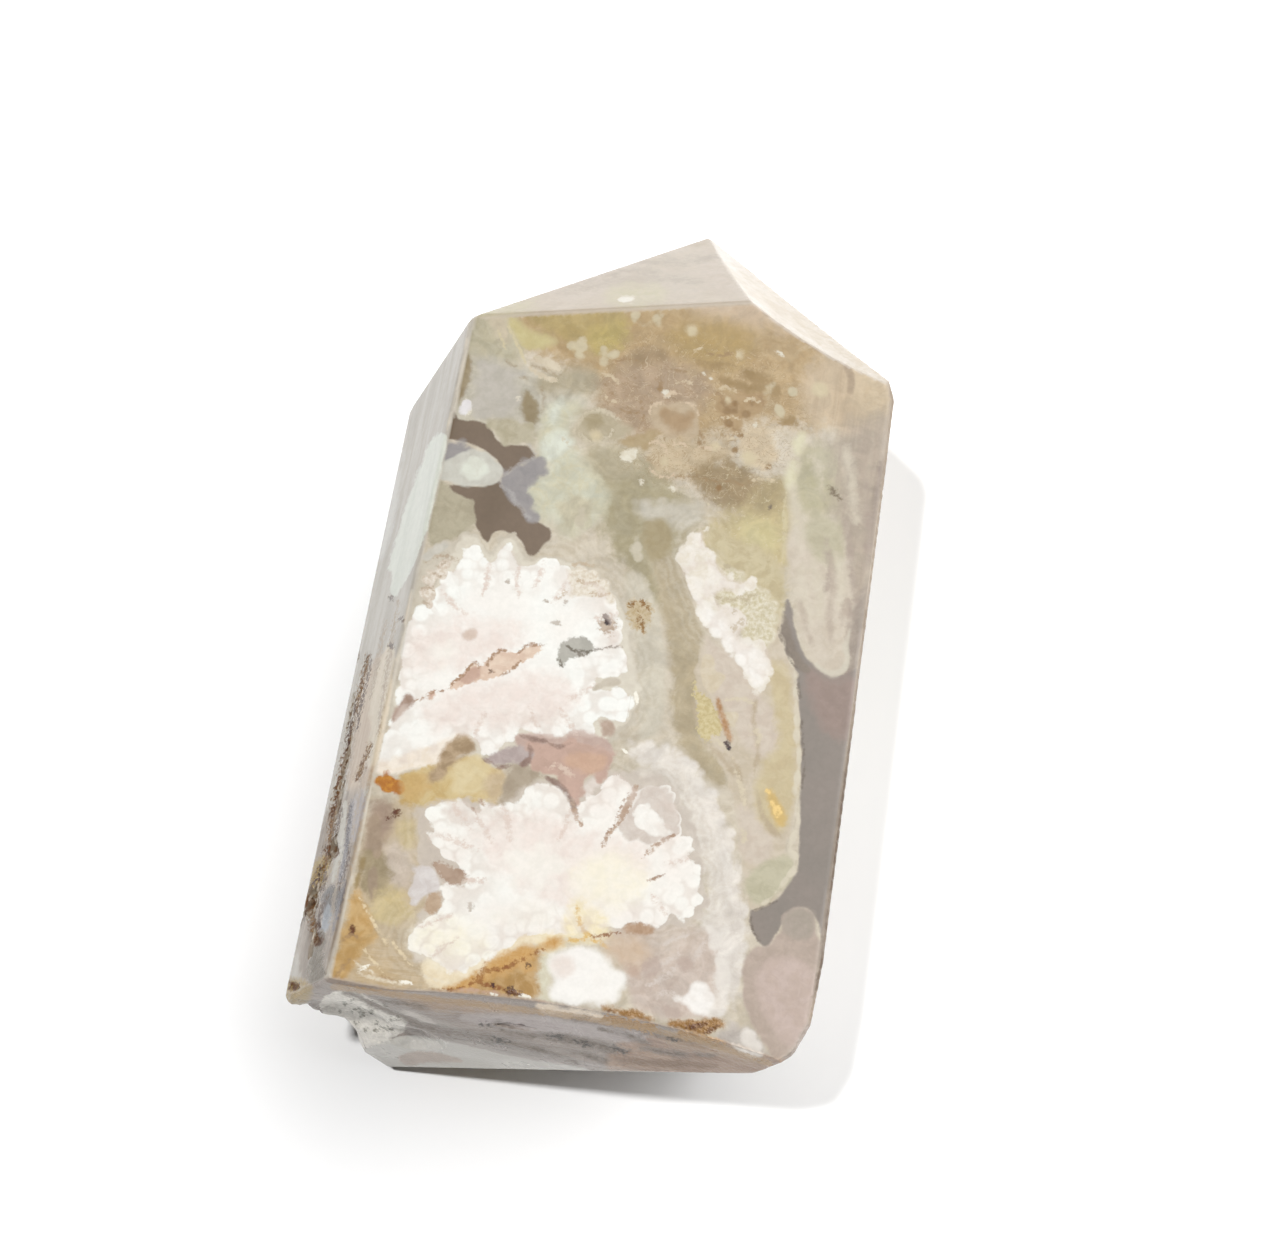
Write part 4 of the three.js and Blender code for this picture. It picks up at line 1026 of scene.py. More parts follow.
sides = dict(
    tipLeftGround=mark("#ddd4c8 #d4cabc", on="tipLeft", mix="broad", everywhere=True),
    tipLeftGrey=mark("#dcd4c8 #d8cfc4", 1.2, 0.8, "640,272 700,266 706,292 648,294", on="tipLeft"),
    tipLeftPink=mark("#dcd3c8 #d8cec2", 1.0, 0.8, "540,286 600,264 650,258 628,288 560,302 / 690,256 716,246 "
        "752,290 742,302 706,288", on="tipLeft"),
    tipLeftVeils=mark("#ccc4b9", 0.4, 0.5, lines="7 560,292 600,282 650,278 700,282 / 6 640,262 680,262 "
        "720,256 / 5 600,276 636,270 660,272", on="tipLeft", strength=0.6, taper=0.9),
    tipLeftGreen=mark("#d9d3be #dcd5c4", 0.7, 0.6, "606,288 664,284 668,302 612,306 / 476,312 520,298 "
        "540,300 520,314 480,320", on="tipLeft"),
    tipLeftSpot=mark("#f2eee4", 0.2, 0.3, "618,297 634,294 638,300 630,304 620,304", on="tipLeft",
        edge="lobed"),
    tipRightGround=mark("#faf5ee #f4ede4", on="tipRight", mix="broad", everywhere=True),
    tipRightWarm=mark("#eee5d7 #e8ddcd", 1.0, 0.8, "720,262 742,275 800,315 845,350 890,372 885,382 830,352 "
        "775,318 735,290", on="tipRight"),
    flankGround=mark("#cbc7c0 #bfbbb4", on="flank", mix="streak", everywhere=True),
    flankPale=mark("#dddfd7 #d6d8d0", 0.12, 0.25, "444,430 447,445 438,478 434,500 430,520 424,540 405,580 "
        "396,598 390,592 393,578 388,568 394,545 405,510 418,470 432,438", on="flank", mix="streak"),
    flankFar=mark("#d7d6d2 #cdcac6", 0.4, 0.3, "376,560 380,520 392,470 402,440 398,480 392,520 384,556",
        on="flank", mix="streak"),
    flankRose=mark("#ccbfb0 #c2b4a6", 0.4, 0.3, "350,760 356,700 372,660 388,650 392,680 384,730 372,780 "
        "356,800 346,790", on="flank", mix="streak"),
    flankCream=mark("#dad0c0 #d0c7b8", 0.25, 0.25, "368,690 384,650 394,640 392,690 384,730 378,762 364,770 "
        "372,730", on="flank", mix="streak"),
    flankLow=mark("#b6ada4 #a09890", 0.4, 0.3, "320,820 350,790 362,790 358,840 345,900 330,970 300,990 "
        "300,930 312,870", on="flank", mix="streak"),
    flankBlue=mark("#8a8887 #82807f", 0.2, 0.3, "325,886 339,884 344,896 336,912 326,922 320,908",
        on="flank", mix="streak", rough=0.3),
    flankBlueHeart=mark("#b2b5b8 #a6a9ad", 0.16, 0.2, "329,904 333,912 331,924 325,934 320,930 321,918 "
        "325,908", on="flank", mix="streak"),
    flankLilac=mark("#bcb7b5 #b2adac", 0.2, 0.25, "352,800 362,786 366,800 360,826 354,846 348,838 350,818 / "
        "338,868 345,850 346,866 340,884 334,890", on="flank", mix="streak"),
    flankPaleLow=mark("#ccc9c0 #c2beb5", 0.16, 0.25, "344,800 348,806 345,830 346,850 340,866 334,884 "
        "330,882 336,858 338,836 340,814 / 318,864 322,868 319,884 315,892 314,878", on="flank",
        mix="streak"),
    flankGreyLow=mark("#8a847c #9a948b", 0.2, 0.4, "316,935 324,930 326,944 322,960 326,975 320,990 308,984 "
        "308,966 312,950", on="flank", edge="cloud", mix="mottle", rough=0.5),
    flankOlive=mark("#b4a484 #a69678", 0.25, 0.3, "312,862 330,852 330,872 318,892 304,905 302,890 / 280,985 "
        "300,975 312,990 302,1004 286,1008", on="flank"),
    flankUmber=mark("#807060 #968676", 0.16, 0.4, "302,889 312,886 313,900 306,912 299,914 299,900",
        on="flank", edge="fine", mix="grain", rough=0.6),
    flankSeams=mark("#b2a698", 0.16, 0.3, lines="3 398,600 392,640 384,690 378,735 / 3 386,620 378,660 "
        "370,700 / 3 366,760 358,800 350,845 / 3 372,770 364,810 356,850 350,880 / 3 340,860 334,900 330,940 "
        "/ 3 360,700 352,750 346,790", on="flank", edge="fine", strength=0.7, taper=0.9, rough=0.25),
    flankFissure=mark("#947c5e #80684e", 0.14, 0.4, lines="3.5 368,655 363,680 356,704 350,735 / 5 351,725 "
        "345,760 338,785 332,815 329,850 / 5 332,838 326,862 316,884 310,910 315,940 / 4 300,916 294,926 / 3 "
        "370,744 363,764 356,780", on="flank", edge="fine", mix="grain", taper=0.5, rough=0.7, deep=0.16),
    flankDark=mark("#685038 #7c6246", 0.12, 0.4, lines="2.5 348,742 342,770 336,792 331,816 / 2 320,866 "
        "318,880", dots="331,850,7 309,903,8 307,912,5 317,940,5 293,986,4 316,925,3 355,657,3", on="flank",
        edge="fine", mix="grain", taper=0.4, rough=0.9, deep=0.3),
    flankVeins=mark("#706254 #827464", 0.1, 0.3, lines="2.4 350,804 349,817 346.7,839 348.8,855 344.6,869 "
        "339.4,885 339.4,897 / 2.6 329,893 324,904 320,913 317.5,927 318.4,938 317,946 / 2.4 339,800 341,812 "
        "338,826 335,838 / 2.2 322,866 314,880 308,896 / 2 326,870 324,884 320,894 / 2.2 324,880 316,893 "
        "308,906 300,922 296,932 / 2.2 356,700 350,724 346,748 344,772 / 2 372,660 366,684 360,708 357,730",
        on="flank", edge="fine", mix="grain", strength=0.85, taper=0.8, rough=0.5),
    flankGreyDots=mark("#8c847c", 0.12, 0.25, dots="391,598,2.5 402,619,2 391,646,2.5 400,678,3", on="flank",
        edge="fine"),
    flankBlueLine=mark("#989698", 0.14, 0.2, lines="4 352,800 350,820 346,850 340,880 / 3 345,880 338,910 "
        "332,935", on="flank", edge="fine", mix="streak", strength=0.8),
    flankEdge=mark("#e6ddd0", 0.14, 0.1, lines="4 470,320 463,370 455,400 447,430 / 5 412,590 402,640 "
        "392,690 384,730 376,775 368,810 360,850 350,885 342,930 332,975", on="flank", mix="streak",
        strength=0.4),
    heelGround=mark("#a09892 #8f8781", on="heel", mix="heelStreak", rough=0.3, everywhere=True),
    heelSmooth=mark("#c4c1bb #bcb9b2", 0.1, 0.1, "330,1060 368,1048 385,1040 412,1034 440,1040 480,1049 "
        "520,1058 560,1064 596,1070 600,1090 330,1090", on="heel", mix="broad", rough=0.12),
    heelSliver=mark("#a89c92 #b4a89e", 0.12, 0.2, "395,1056 420,1050 445,1054 470,1063 430,1062 405,1066",
        on="heel", rough=0.4),
    heelChipPaint=mark("#d8d4cc #c6c2ba", 0.1, 0.3, "318,1000 330,992 352,990 372,998 396,1012 410,1024 "
        "396,1036 370,1048 350,1046 330,1030", on="heel", mix="grain", rough=0.6),
    chipSpecks=mark("#807e74", 0.12, 0.25, lines="2 350,1012 356,1008 364,1010 / 2 374,1030 384,1028 "
        "394,1030", dots="362,1014,2.6 371,1012,2.2 357,1022,1.8 345,1004,1.8 352,1000,1.4 385,1006,2 "
        "377,1022,1.6 390,1020,2 366,1030,1.6 341,1012,1.4 398,1018,1.6 372,1004,1.4", on="heel",
        edge="fine", mix="grain", strength=0.7),
    heelRidge=mark("#c4beb7 #b6b0a9", 0.12, 0.25, "396,1012 410,1010 440,1024 428,1028 404,1020", on="heel"),
    heelRose=mark("#ac9b8e #9a897e", 0.3, 0.3, "620,1035 680,1036 740,1048 790,1060 800,1085 640,1085 "
        "600,1070", on="heel", mix="heelStreak"),
    heelTan=mark("#b0a092 #a29284", 0.35, 0.35, "664,1030 720,1038 772,1058 764,1068 700,1052 664,1044 / "
        "400,998 470,1002 530,1009 530,1016 470,1012 400,1006", on="heel", mix="heelStreak"),
    heelEdgeCream=mark("#e2d5c4 #d6c7b4", 0.28, 0.3, "536,1003 566,1008 604,1014 608,1021 574,1017 540,1011",
        on="heel", mix="heelStreak"),
    heelLilac=mark("#b4adaa #a8a09d", 0.25, 0.25, "450,1015 520,1014 600,1026 650,1034 640,1044 560,1034 "
        "480,1026", on="heel", mix="heelStreak"),
    heelDark=mark("#6c655e #8e857d", 0.3, 0.45, lines="7 346,992 372,1004 396,1014 420,1026 452,1034 "
        "500,1042 540,1050 576,1062 / 8 484,1036 500,1042 516,1046 / 7 540,1036 566,1038 596,1045 612,1049 / "
        "4 376,999 402,1004 428,1008 / 4 486,1026 500,1024 512,1028 / 4 570,1018 590,1019 / 4 640,1034 "
        "668,1034 690,1040 / 3 690,1042 720,1044 / 5 560,1052 590,1056 606,1060 / 3 500,1030 530,1036 "
        "556,1040 / 3 600,1030 630,1036 650,1044 / 3 640,1050 680,1054 716,1056",
        dots="615,1050,4 622,1052,3", on="heel", edge="cloud", mix="grain", strength=0.85, taper=0.5,
        rough=0.7, deep=0.1),
    heelDarkest=mark("#4e4842 #645e58", 0.16, 0.4, lines="4.5 492,1038 500,1042 508,1043 / 3.5 612,1048 "
        "620,1050 628,1051 / 3 548,1036 562,1038 / 3 574,1042 590,1046 / 2.6 480,1024 490,1025 / 2.6 "
        "668,1038 684,1040", on="heel", edge="fine", mix="grain", strength=0.8, rough=0.6),
    heelRoseDark=mark("#847468 #928275", 0.24, 0.3, lines="6 606,1058 640,1062 680,1064 716,1067", on="heel",
        mix="heelStreak", strength=0.75, taper=0.7),
    heelOchre=mark("#b09270 #967856", 0.2, 0.4, lines="8 606,1018 630,1024 655,1029 / 9 680,1034 704,1038 "
        "722,1040", on="heel", edge="fine", mix="grain", taper=0.3, rough=0.6, deep=0.08),
    heelWhite=mark("#d8d2ca #ccc4bc", 0.15, 0.25, "716,1030 740,1024 752,1034 766,1050 758,1060 736,1050",
        on="heel"),
    heelCornerOlive=mark("#ac9c80 #9e9076", 0.3, 0.3, "278,985 300,975 314,990 304,1006 284,1010", on="heel"),
    footEdge=mark("#bea07c", 0.1, 0.1, lines="5 333,984 380,990 430,996 520,1006 600,1017 671,1031 720,1044 "
        "770,1061", edge="fine", strength=0.6, taper=0.1, rough=0.3),
    heelEdge=mark("#a89278", 0.1, 0.1, lines="6 333,987 380,993 430,999 520,1009 600,1020 671,1034 720,1047 "
        "770,1064", on="heel", edge="fine", strength=0.6, taper=0.1, rough=0.3),
    bevelGround=mark("#beb2a5 #b1a599", on="bevel", mix="streak", strength=1.0, everywhere=True),
    bevelDark=mark("#9a9087 #92887f", 0.6, 0.4, "880,620 905,640 880,760 860,860 840,960 800,1010 790,960 "
        "815,880 850,740", on="bevel"),
)


def markingGaps(spots, marks):
    gaps = {}
    for name, made in marks.items():
        if made["everywhere"]:
            continue
        gap = np.full(len(spots), farAway)
        for text in made["shapes"]:
            gap = np.minimum(gap, outlineGap(spots, text))
        for text in made["lines"]:
            gap = np.minimum(gap, lineGap(spots, text, made["taper"]))
        for x, y, radius in readOutline(made["dots"]):
            away = np.hypot(spots[:, 0] - x, spots[:, 1] - y) - radius
            gap = np.minimum(gap, np.clip(away / pixelsPerMm, -farAway, farAway))
        gaps[name] = gap
    return gaps


# where the petals of each bloom start from, and which bloom a place belongs to, in pixels
blooms = {
    "upper": (470, 655),
    "lower": (545, 880),
    "plume": (725, 470),
    "lowerFrom": 768,
    "plumeFrom": 652,  # at the height below, and further left the lower a place is
    "plumeHeight": 560,
    "plumeSlant": 0.16,
    "closest": 0.3,  # mm
}


def mapRays(mesh, spots):
    # direction and distance from the middle of the nearest bloom
    x, y = spots.T
    isPlume = x > blooms["plumeFrom"] - blooms["plumeSlant"] * (y - blooms["plumeHeight"])
    isUpper = y < blooms["lowerFrom"]
    flower = np.where(isUpper[:, None], blooms["upper"], blooms["lower"])
    centre = np.where(isPlume[:, None], blooms["plume"], flower)
    away = (spots - centre) / pixelsPerMm
    reach = np.maximum(np.linalg.norm(away, axis=1), blooms["closest"])
    rays = {"rayAcross": away[:, 0] / reach, "rayUp": away[:, 1] / reach, "rayReach": reach}
    return storeThrees(mesh, "rays", rays)


# outlines of the parts of the front whose grain is of its own kind
zones = {
    "wrinkled": "590,345 640,330 720,340 790,365 812,410 800,450 770,500 720,512 680,490 640,482 610,450 "
        "596,400",
    "flecked": "704,470 780,470 790,600 775,650 740,640 700,600 690,540",
}

# The finish is made once for each patch of the surface, with only the markings that reach
# that patch. It looks the same as one finish with all of them, and renders far quicker.
patches = {
    "across": (560,),  # their borders, in pixels
    "down": (395, 470, 545, 640, 740, 820, 900, 975),
    "raggedReach": 1.4,  # how far a ragged rim goes, against its wander
    "spare": 0.02,  # mm
    "zoneReach": 1.3,
}


def cutPatches(mesh, spots):
    # gives each triangle the number of its patch, and returns the points of each patch
    corners = triangleCorners(mesh)
    middle = spots[corners].mean(1)
    column = np.searchsorted(patches["across"], middle[:, 0])
    row = np.searchsorted(patches["down"], middle[:, 1])
    _, patch = np.unique(row * 10 + column, return_inverse=True)
    patch = patch.ravel()
    mesh.polygons.foreach_set("material_index", patch.astype(np.int32))
    return [np.unique(corners[patch == number]) for number in range(patch.max() + 1)]


def marksReaching(points, marks, gaps, shares):
    # names of the markings that show on any of these points, with their ragged rims
    near = []
    for name, made in marks.items():
        onFace = points[shares[made["on"]][points] > 0]
        reach = made["soft"] + patches["raggedReach"] * made["wander"] + patches["spare"]
        if len(onFace) and (made["everywhere"] or gaps[name][onFace].min() < reach):
            near.append(name)
    return near


# Pigments are written as they look in daylight and turned into what the surface itself must
# be under this studio's light and gloss.
surfaceLight = {
    "front": {"gain": 1.84, "gloss": 0.058},
    "tipLeft": {"gain": 1.65, "gloss": 0.24},
    "tipRight": {"gain": 1.75, "gloss": 0.3},
    "flank": {"gain": 0.98, "gloss": 0.2},
    "heel": {"gain": 0.84, "gloss": 0.13},
    "bevel": {"gain": 1.6, "gloss": 0.2},
}
glossLost = 0.8  # share of the gloss that a fully rough place has lost
pigmentRange = (0.012, 0.95)


def pigment(tone, face="front", rough=0.0):
    light = surfaceLight[face]
    gloss = light["gloss"] * (1 - glossLost * rough)
    made = []
    for part in tone:
        share = part / 255
        linear = share / 12.92 if share <= 0.04045 else ((share + 0.055) / 1.055) ** 2.4
        made.append(min(pigmentRange[1], max(pigmentRange[0], (linear - gloss) / light["gain"])))
    return (*made, 1.0)


def blendColours(tree, share, first, second, kind="MIX"):
    return addNode(
        tree, "ShaderNodeMix", {0: share, 6: first, 7: second}, data_type="RGBA", clamp_factor=True,
        blend_type=kind,
    ).outputs[2]


def mathValue(tree, operation, *values):
    return addNode(tree, "ShaderNodeMath", dict(enumerate(values)), operation=operation).outputs[0]


def stretched(tree, value, low, high, kind="SMOOTHSTEP"):
    # low becomes 0 and high becomes 1
    return addNode(
        tree, "ShaderNodeMapRange", {"Value": value, "From Min": low, "From Max": high},
        interpolation_type=kind,
    ).outputs[0]


def between(tree, share, first, second):
    # from the first value to the second by the share
    return addNode(tree, "ShaderNodeMapRange", {"Value": share, "To Min": first, "To Max": second}).outputs[0]


def startGroup(label, inputs, outputs):
    # an effect of its own, whose sockets with these names carry colours
    tree = bpy.data.node_groups.new(label, "ShaderNodeTree")
    for direction, names in (("INPUT", inputs), ("OUTPUT", outputs)):
        for name in names:
            isColour = name in ("Under", "Colour", "Second Colour", "Light", "Dark")
            kind = "NodeSocketColor" if isColour else "NodeSocketFloat"
            tree.interface.new_socket(name=name, in_out=direction, socket_type=kind)
    return tree, addNode(tree, "NodeGroupInput").outputs, addNode(tree, "NodeGroupOutput").inputs


def useGroup(tree, group, values, label):
    return addNode(tree, "ShaderNodeGroup", values, node_tree=group, name=label, label=label)


def buildMarkingGroup():
    # lays one marking over what is under it
    tree, given, out = startGroup(
        "layMarking",
        (
            "Under", "Distance", "Wander", "Wander Amount", "Softness", "Colour", "Second Colour", "Mottle",
            "Strength", "Face",
        ),
        ("Colour", "Mask"),
    )
    moved = mathValue(tree, "MULTIPLY_ADD", given["Wander"], given["Wander Amount"], given["Distance"])
    inward = mathValue(tree, "MULTIPLY", given["Softness"], -1.0)
    cover = stretched(tree, moved, given["Softness"], inward)
    mask = mathValue(tree, "MULTIPLY", mathValue(tree, "MULTIPLY", cover, given["Strength"]), given["Face"])
    # one tone after the other, each over what is there: kept in this order the renderer can
    # hold well over a hundred markings
    first = blendColours(tree, mask, given["Under"], given["Colour"])
    part = mathValue(tree, "MULTIPLY", mask, given["Mottle"])
    tree.links.new(blendColours(tree, part, first, given["Second Colour"]), out["Colour"])
    tree.links.new(mask, out["Mask"])
    return tree


def noiseValue(tree, where, scale, detail=3.0, roughness=0.5, distortion=0.0, low=0.3, high=0.7):
    # noise stretched to 0..1
    noise = addNode(
        tree, "ShaderNodeTexNoise",
        {"Vector": where, "Scale": scale, "Detail": detail, "Roughness": roughness, "Distortion": distortion},
    )
    return stretched(tree, noise.outputs["Fac"], low, high)


def cellValue(tree, where, scale):
    # 0 in the middle of each round cell, about 1 where cells meet
    cells = addNode(tree, "ShaderNodeTexVoronoi", {"Vector": where, "Scale": scale})
    return stretched(tree, cells.outputs["Distance"], 0.1, 0.75, "LINEAR")


def pointValue(tree, places, name):
    # the socket that gives one of the points' stored values
    attribute, slot = places[name]
    split = tree.nodes.get(attribute)
    if split is None:
        source = addNode(tree, "ShaderNodeAttribute", attribute_name=attribute)
        split = addNode(tree, "ShaderNodeSeparateXYZ", {0: source.outputs["Vector"]}, name=attribute)
    return split.outputs[slot]


def buildShadeGroup():
    # lightens and darkens a colour by a pattern
    tree, given, out = startGroup("shadeByPattern", ("Colour", "Pattern", "Amount"), ("Colour",))
    swing = mathValue(tree, "MULTIPLY_ADD", given["Pattern"], 2.0, -1.0)
    level = mathValue(tree, "MULTIPLY_ADD", swing, given["Amount"], 1.0)
    grey = addNode(tree, "ShaderNodeCombineColor", {0: level, 1: level, 2: level}).outputs[0]
    tree.links.new(blendColours(tree, 1.0, given["Colour"], grey, "MULTIPLY"), out["Colour"])
    return tree


def buildVeinGroup():
    # thin wandering lines where a pattern crosses its middle value
    tree, given, out = startGroup("layVeins", ("Under", "Pattern", "Width", "Colour", "Share"), ("Colour",))
    off = mathValue(tree, "ABSOLUTE", mathValue(tree, "SUBTRACT", given["Pattern"], 0.5))
    mask = mathValue(tree, "MULTIPLY", stretched(tree, off, given["Width"], 0.0), given["Share"])
    tree.links.new(blendColours(tree, mask, given["Under"], given["Colour"]), out["Colour"])
    return tree


def buildBandGroup():
    # growth bands that run round an outline and fade away from it
    tree, given, out = startGroup(
        "layGrowthBands",
        ("Under", "Distance", "Wander", "Spacing", "Reach", "Light", "Dark", "Share"),
        ("Colour",),
    )
    bent = mathValue(tree, "MULTIPLY_ADD", given["Wander"], 0.45, given["Distance"])
    fullTurn = 6.283
    turn = mathValue(tree, "DIVIDE", mathValue(tree, "MULTIPLY", bent, fullTurn), given["Spacing"])
    wave = mathValue(tree, "MULTIPLY_ADD", mathValue(tree, "SINE", turn), 0.5, 0.5)
    fade = stretched(tree, given["Distance"], given["Reach"], 0.1)
    outside = stretched(tree, given["Distance"], 0.0, 0.15, "LINEAR")
    held = mathValue(tree, "MULTIPLY", mathValue(tree, "MULTIPLY", fade, outside), given["Share"])
    lightShare = mathValue(tree, "MULTIPLY", wave, held)
    light = blendColours(tree, lightShare, given["Under"], given["Light"])
    darkShare = mathValue(tree, "SUBTRACT", held, lightShare)
    tree.links.new(blendColours(tree, darkShare, light, given["Dark"]), out["Colour"])
    return tree


def buildPetalGroup():
    # lines between the petals, strongest a little way in from the rim of the bloom
    tree, given, out = startGroup(
        "layPetalLines", ("Under", "Distance", "Pattern", "Reach", "Colour", "Share"), ("Colour",)
    )
    inward = mathValue(tree, "MULTIPLY", given["Distance"], -1.0)
    begin = stretched(tree, inward, 0.0, 0.35)
    fade = stretched(tree, inward, given["Reach"], 0.5)
    line = stretched(tree, given["Pattern"], 0.55, 1.0)
    band = mathValue(tree, "MULTIPLY", begin, fade)
    mask = mathValue(tree, "MULTIPLY", mathValue(tree, "MULTIPLY", band, line), given["Share"])
    tree.links.new(blendColours(tree, mask, given["Under"], given["Colour"]), out["Colour"])
    return tree


def buildWearGroup():
    # polish with faint smudges, which is lost where the stone is worn or broken
    tree, given, out = startGroup(
        "polishAndWear", ("Smudges", "Polished", "Smudged", "Worn", "Broken"), ("Roughness",)
    )
    smudges = between(tree, given["Smudges"], given["Polished"], given["Smudged"])
    tree.links.new(between(tree, given["Worn"], smudges, given["Broken"]), out["Roughness"])
    return tree


def buildReliefGroup():
    # height in mm: the slow waves left by polishing, and the broken grain of worn places
    tree, given, out = startGroup(
        "surfaceRelief", ("Waves", "Wave Height", "Grain", "Grain Height", "Worn"), ("Height",)
    )
    waves = mathValue(tree, "MULTIPLY", given["Waves"], given["Wave Height"])
    broken = mathValue(tree, "MULTIPLY", given["Grain"], given["Grain Height"])
    tree.links.new(mathValue(tree, "MULTIPLY_ADD", broken, given["Worn"], waves), out["Height"])
    return tree


def layMarks(stone, marks, colour, worn):
    # marks over the colour, and what is worn rough among them over the worn share
    tree = stone["tree"]
    for name, made in marks.items():
        face, rough = made["on"], made["rough"]
        distance = -farAway
        if not made["everywhere"]:
            distance = pointValue(tree, stone["places"], name)
        layer = useGroup(
            tree, stone["groups"]["marking"],
            {
                "Under": colour, "Distance": distance, "Wander": stone["edges"][made["edge"]],
                "Wander Amount": made["wander"], "Softness": made["soft"],
                "Colour": pigment(made["colour"], face, rough),
                "Second Colour": pigment(made["second"], face, rough),
                "Mottle": stone["patterns"][made["mix"]], "Strength": made["strength"],
                "Face": stone["faces"][face],
            },
            name,
        ).outputs
        colour = layer["Colour"]
        if rough:
            scuffed = mathValue(tree, "MULTIPLY", layer["Mask"], rough)
            worn = mathValue(tree, "MAXIMUM", worn, scuffed)
    return colour, worn


# how strong the stone's own grain is
grain = {
    "ground": (216, 206, 188),
    "groundSecond": (203, 192, 172),
    "cloud": 0.10,  # soft light and dark, as a share
    "fine": 0.035,
    "folding": {"Scale": 0.85, "Detail": 3.0, "Roughness": 0.55, "Distortion": 2.2},
    "darkFolds": {"tone": (160, 134, 100), "width": 0.022, "share": 0.5},
    "lightFolds": {"tone": (222, 206, 176), "width": 0.02, "share": 0.45},
    "lightOffset": 0.045,
    "wrinkledRim": 1.2,  # mm over which the crowded parts set in
    "fleckedRim": 1.0,
    "fleckTone": (222, 211, 178),
    "fleckShare": 0.08,
    "fleckedShare": 0.5,  # more, where they are crowded
    "bandSpacing": 0.62,  # mm
    "bandReach": 3.4,
    "bandShare": 0.3,
    "bandLight": (223, 216, 200),
    "bandDark": (192, 180, 158),
    "petalTone": (226, 212, 201),
    "petalReach": 3.2,
    "petalShare": {"flowerOne": 0.5, "flowerTwo": 0.5, "whitePlume": 0.4},
}

polish = {
    "roughness": 0.11,
    "smudged": 0.19,
    "broken": 0.62,
    "waveHeight": 0.0015,  # mm
    "waveSize": 0.35,  # per mm
    "grainHeight": 0.09,
    "bend": 1.54,  # of light, as quartz has it
}

# The patterns: how much each is squeezed across, along and up, its size per mm, detail,
# roughness and distortion, and the values that become 0 and 1.
noises = {
    "broad": ((1, 1, 1), 0.22, 3.0, 0.5, 0.4, 0.3, 0.7),
    "mottle": ((1, 1, 1), 0.9, 4.0, 0.6, 0.6, 0.36, 0.66),
    "grain": ((1, 1, 1), 3.2, 3.0, 0.6, 0.0, 0.3, 0.7),
    "streak": ((1.6, 0.11, 1.1), 0.8, 4.0, 0.6, 0.4, 0.36, 0.66),
    "heelStreak": ((0.16, 1.4, 1.4), 0.9, 4.0, 0.6, 0.5, 0.36, 0.66),
    "fibre": ((0.35, 1.6, 1.0), 1.4, 4.0, 0.6, 0.8, 0.36, 0.66),
    "clouds": ((1, 1, 1), 0.42, 5.0, 0.62, 1.3, 0.3, 0.7),
    "finish": ((1, 1, 1), 1.9, 4.0, 0.65, 0.0, 0.3, 0.7),
    "rays": ((3.4, 3.4, 0.16), 1.25, 3.0, 0.55, 0.5, 0.32, 0.68),
    "flecks": ((1, 1, 1), 2.4, 3.0, 0.6, 0.6, 0.58, 0.7),
    "wideEdge": ((1, 1, 1), 0.8, 2.0, 0.5, 0.0, 0.2, 0.8),
    "smallEdge": ((1, 1, 1), 3.4, 3.0, 0.6, 0.0, 0.25, 0.75),
}
lobeSize = 0.95


def buildPatterns(tree, places):
    # The stone's patterns, and the kinds of ragged rim its markings have: about -1 where a rim
    # bulges out, about 1 where it draws in.
    place = addNode(tree, "ShaderNodeTexCoord").outputs["Object"]

    def inMm(squeeze=(1, 1, 1)):
        scaled = tuple(1000.0 * part for part in squeeze)
        return addNode(tree, "ShaderNodeVectorMath", {0: place, 1: scaled}, operation="MULTIPLY").outputs[0]

    def made(name, where):
        return noiseValue(tree, where, *noises[name][1:])

    def summed(value, factor, rest):
        return mathValue(tree, "MULTIPLY_ADD", value, factor, rest)

    plain = inMm()
    parts = [pointValue(tree, places, "ray" + part) for part in ("Across", "Up", "Reach")]
    squeezed = [mathValue(tree, "MULTIPLY", *pair) for pair in zip(parts, noises["rays"][0])]
    rayPlace = addNode(tree, "ShaderNodeCombineXYZ", dict(enumerate(squeezed))).outputs[0]
    patterns = {"plain": plain}
    for name in ("broad", "mottle", "grain", "streak", "heelStreak", "fibre", "clouds", "finish"):
        squeeze = noises[name][0]
        patterns[name] = made(name, plain if squeeze == (1, 1, 1) else inMm(squeeze))
    lobes = patterns["lobes"] = cellValue(tree, plain, lobeSize)
    rays = patterns["rays"] = made("rays", rayPlace)
    wide, small = made("wideEdge", plain), made("smallEdge", plain)
    # lobed rims bulge outwards between sharp nicks, as the blooms do
    bulged = summed(lobes, 1.5, -0.9)
    lobed = summed(small, 0.35, bulged)
    edges = {
        "cloud": summed(small, 0.5, mathValue(tree, "SUBTRACT", wide, 0.75)),
        "lobed": lobed,
        "rayed": summed(rays, 1.6, summed(small, 0.4, -1.0)),
        "petal": summed(rays, 0.9, mathValue(tree, "SUBTRACT", lobed, 0.45)),
        "fine": summed(small, 1.4, -0.7),
    }
    return patterns, edges


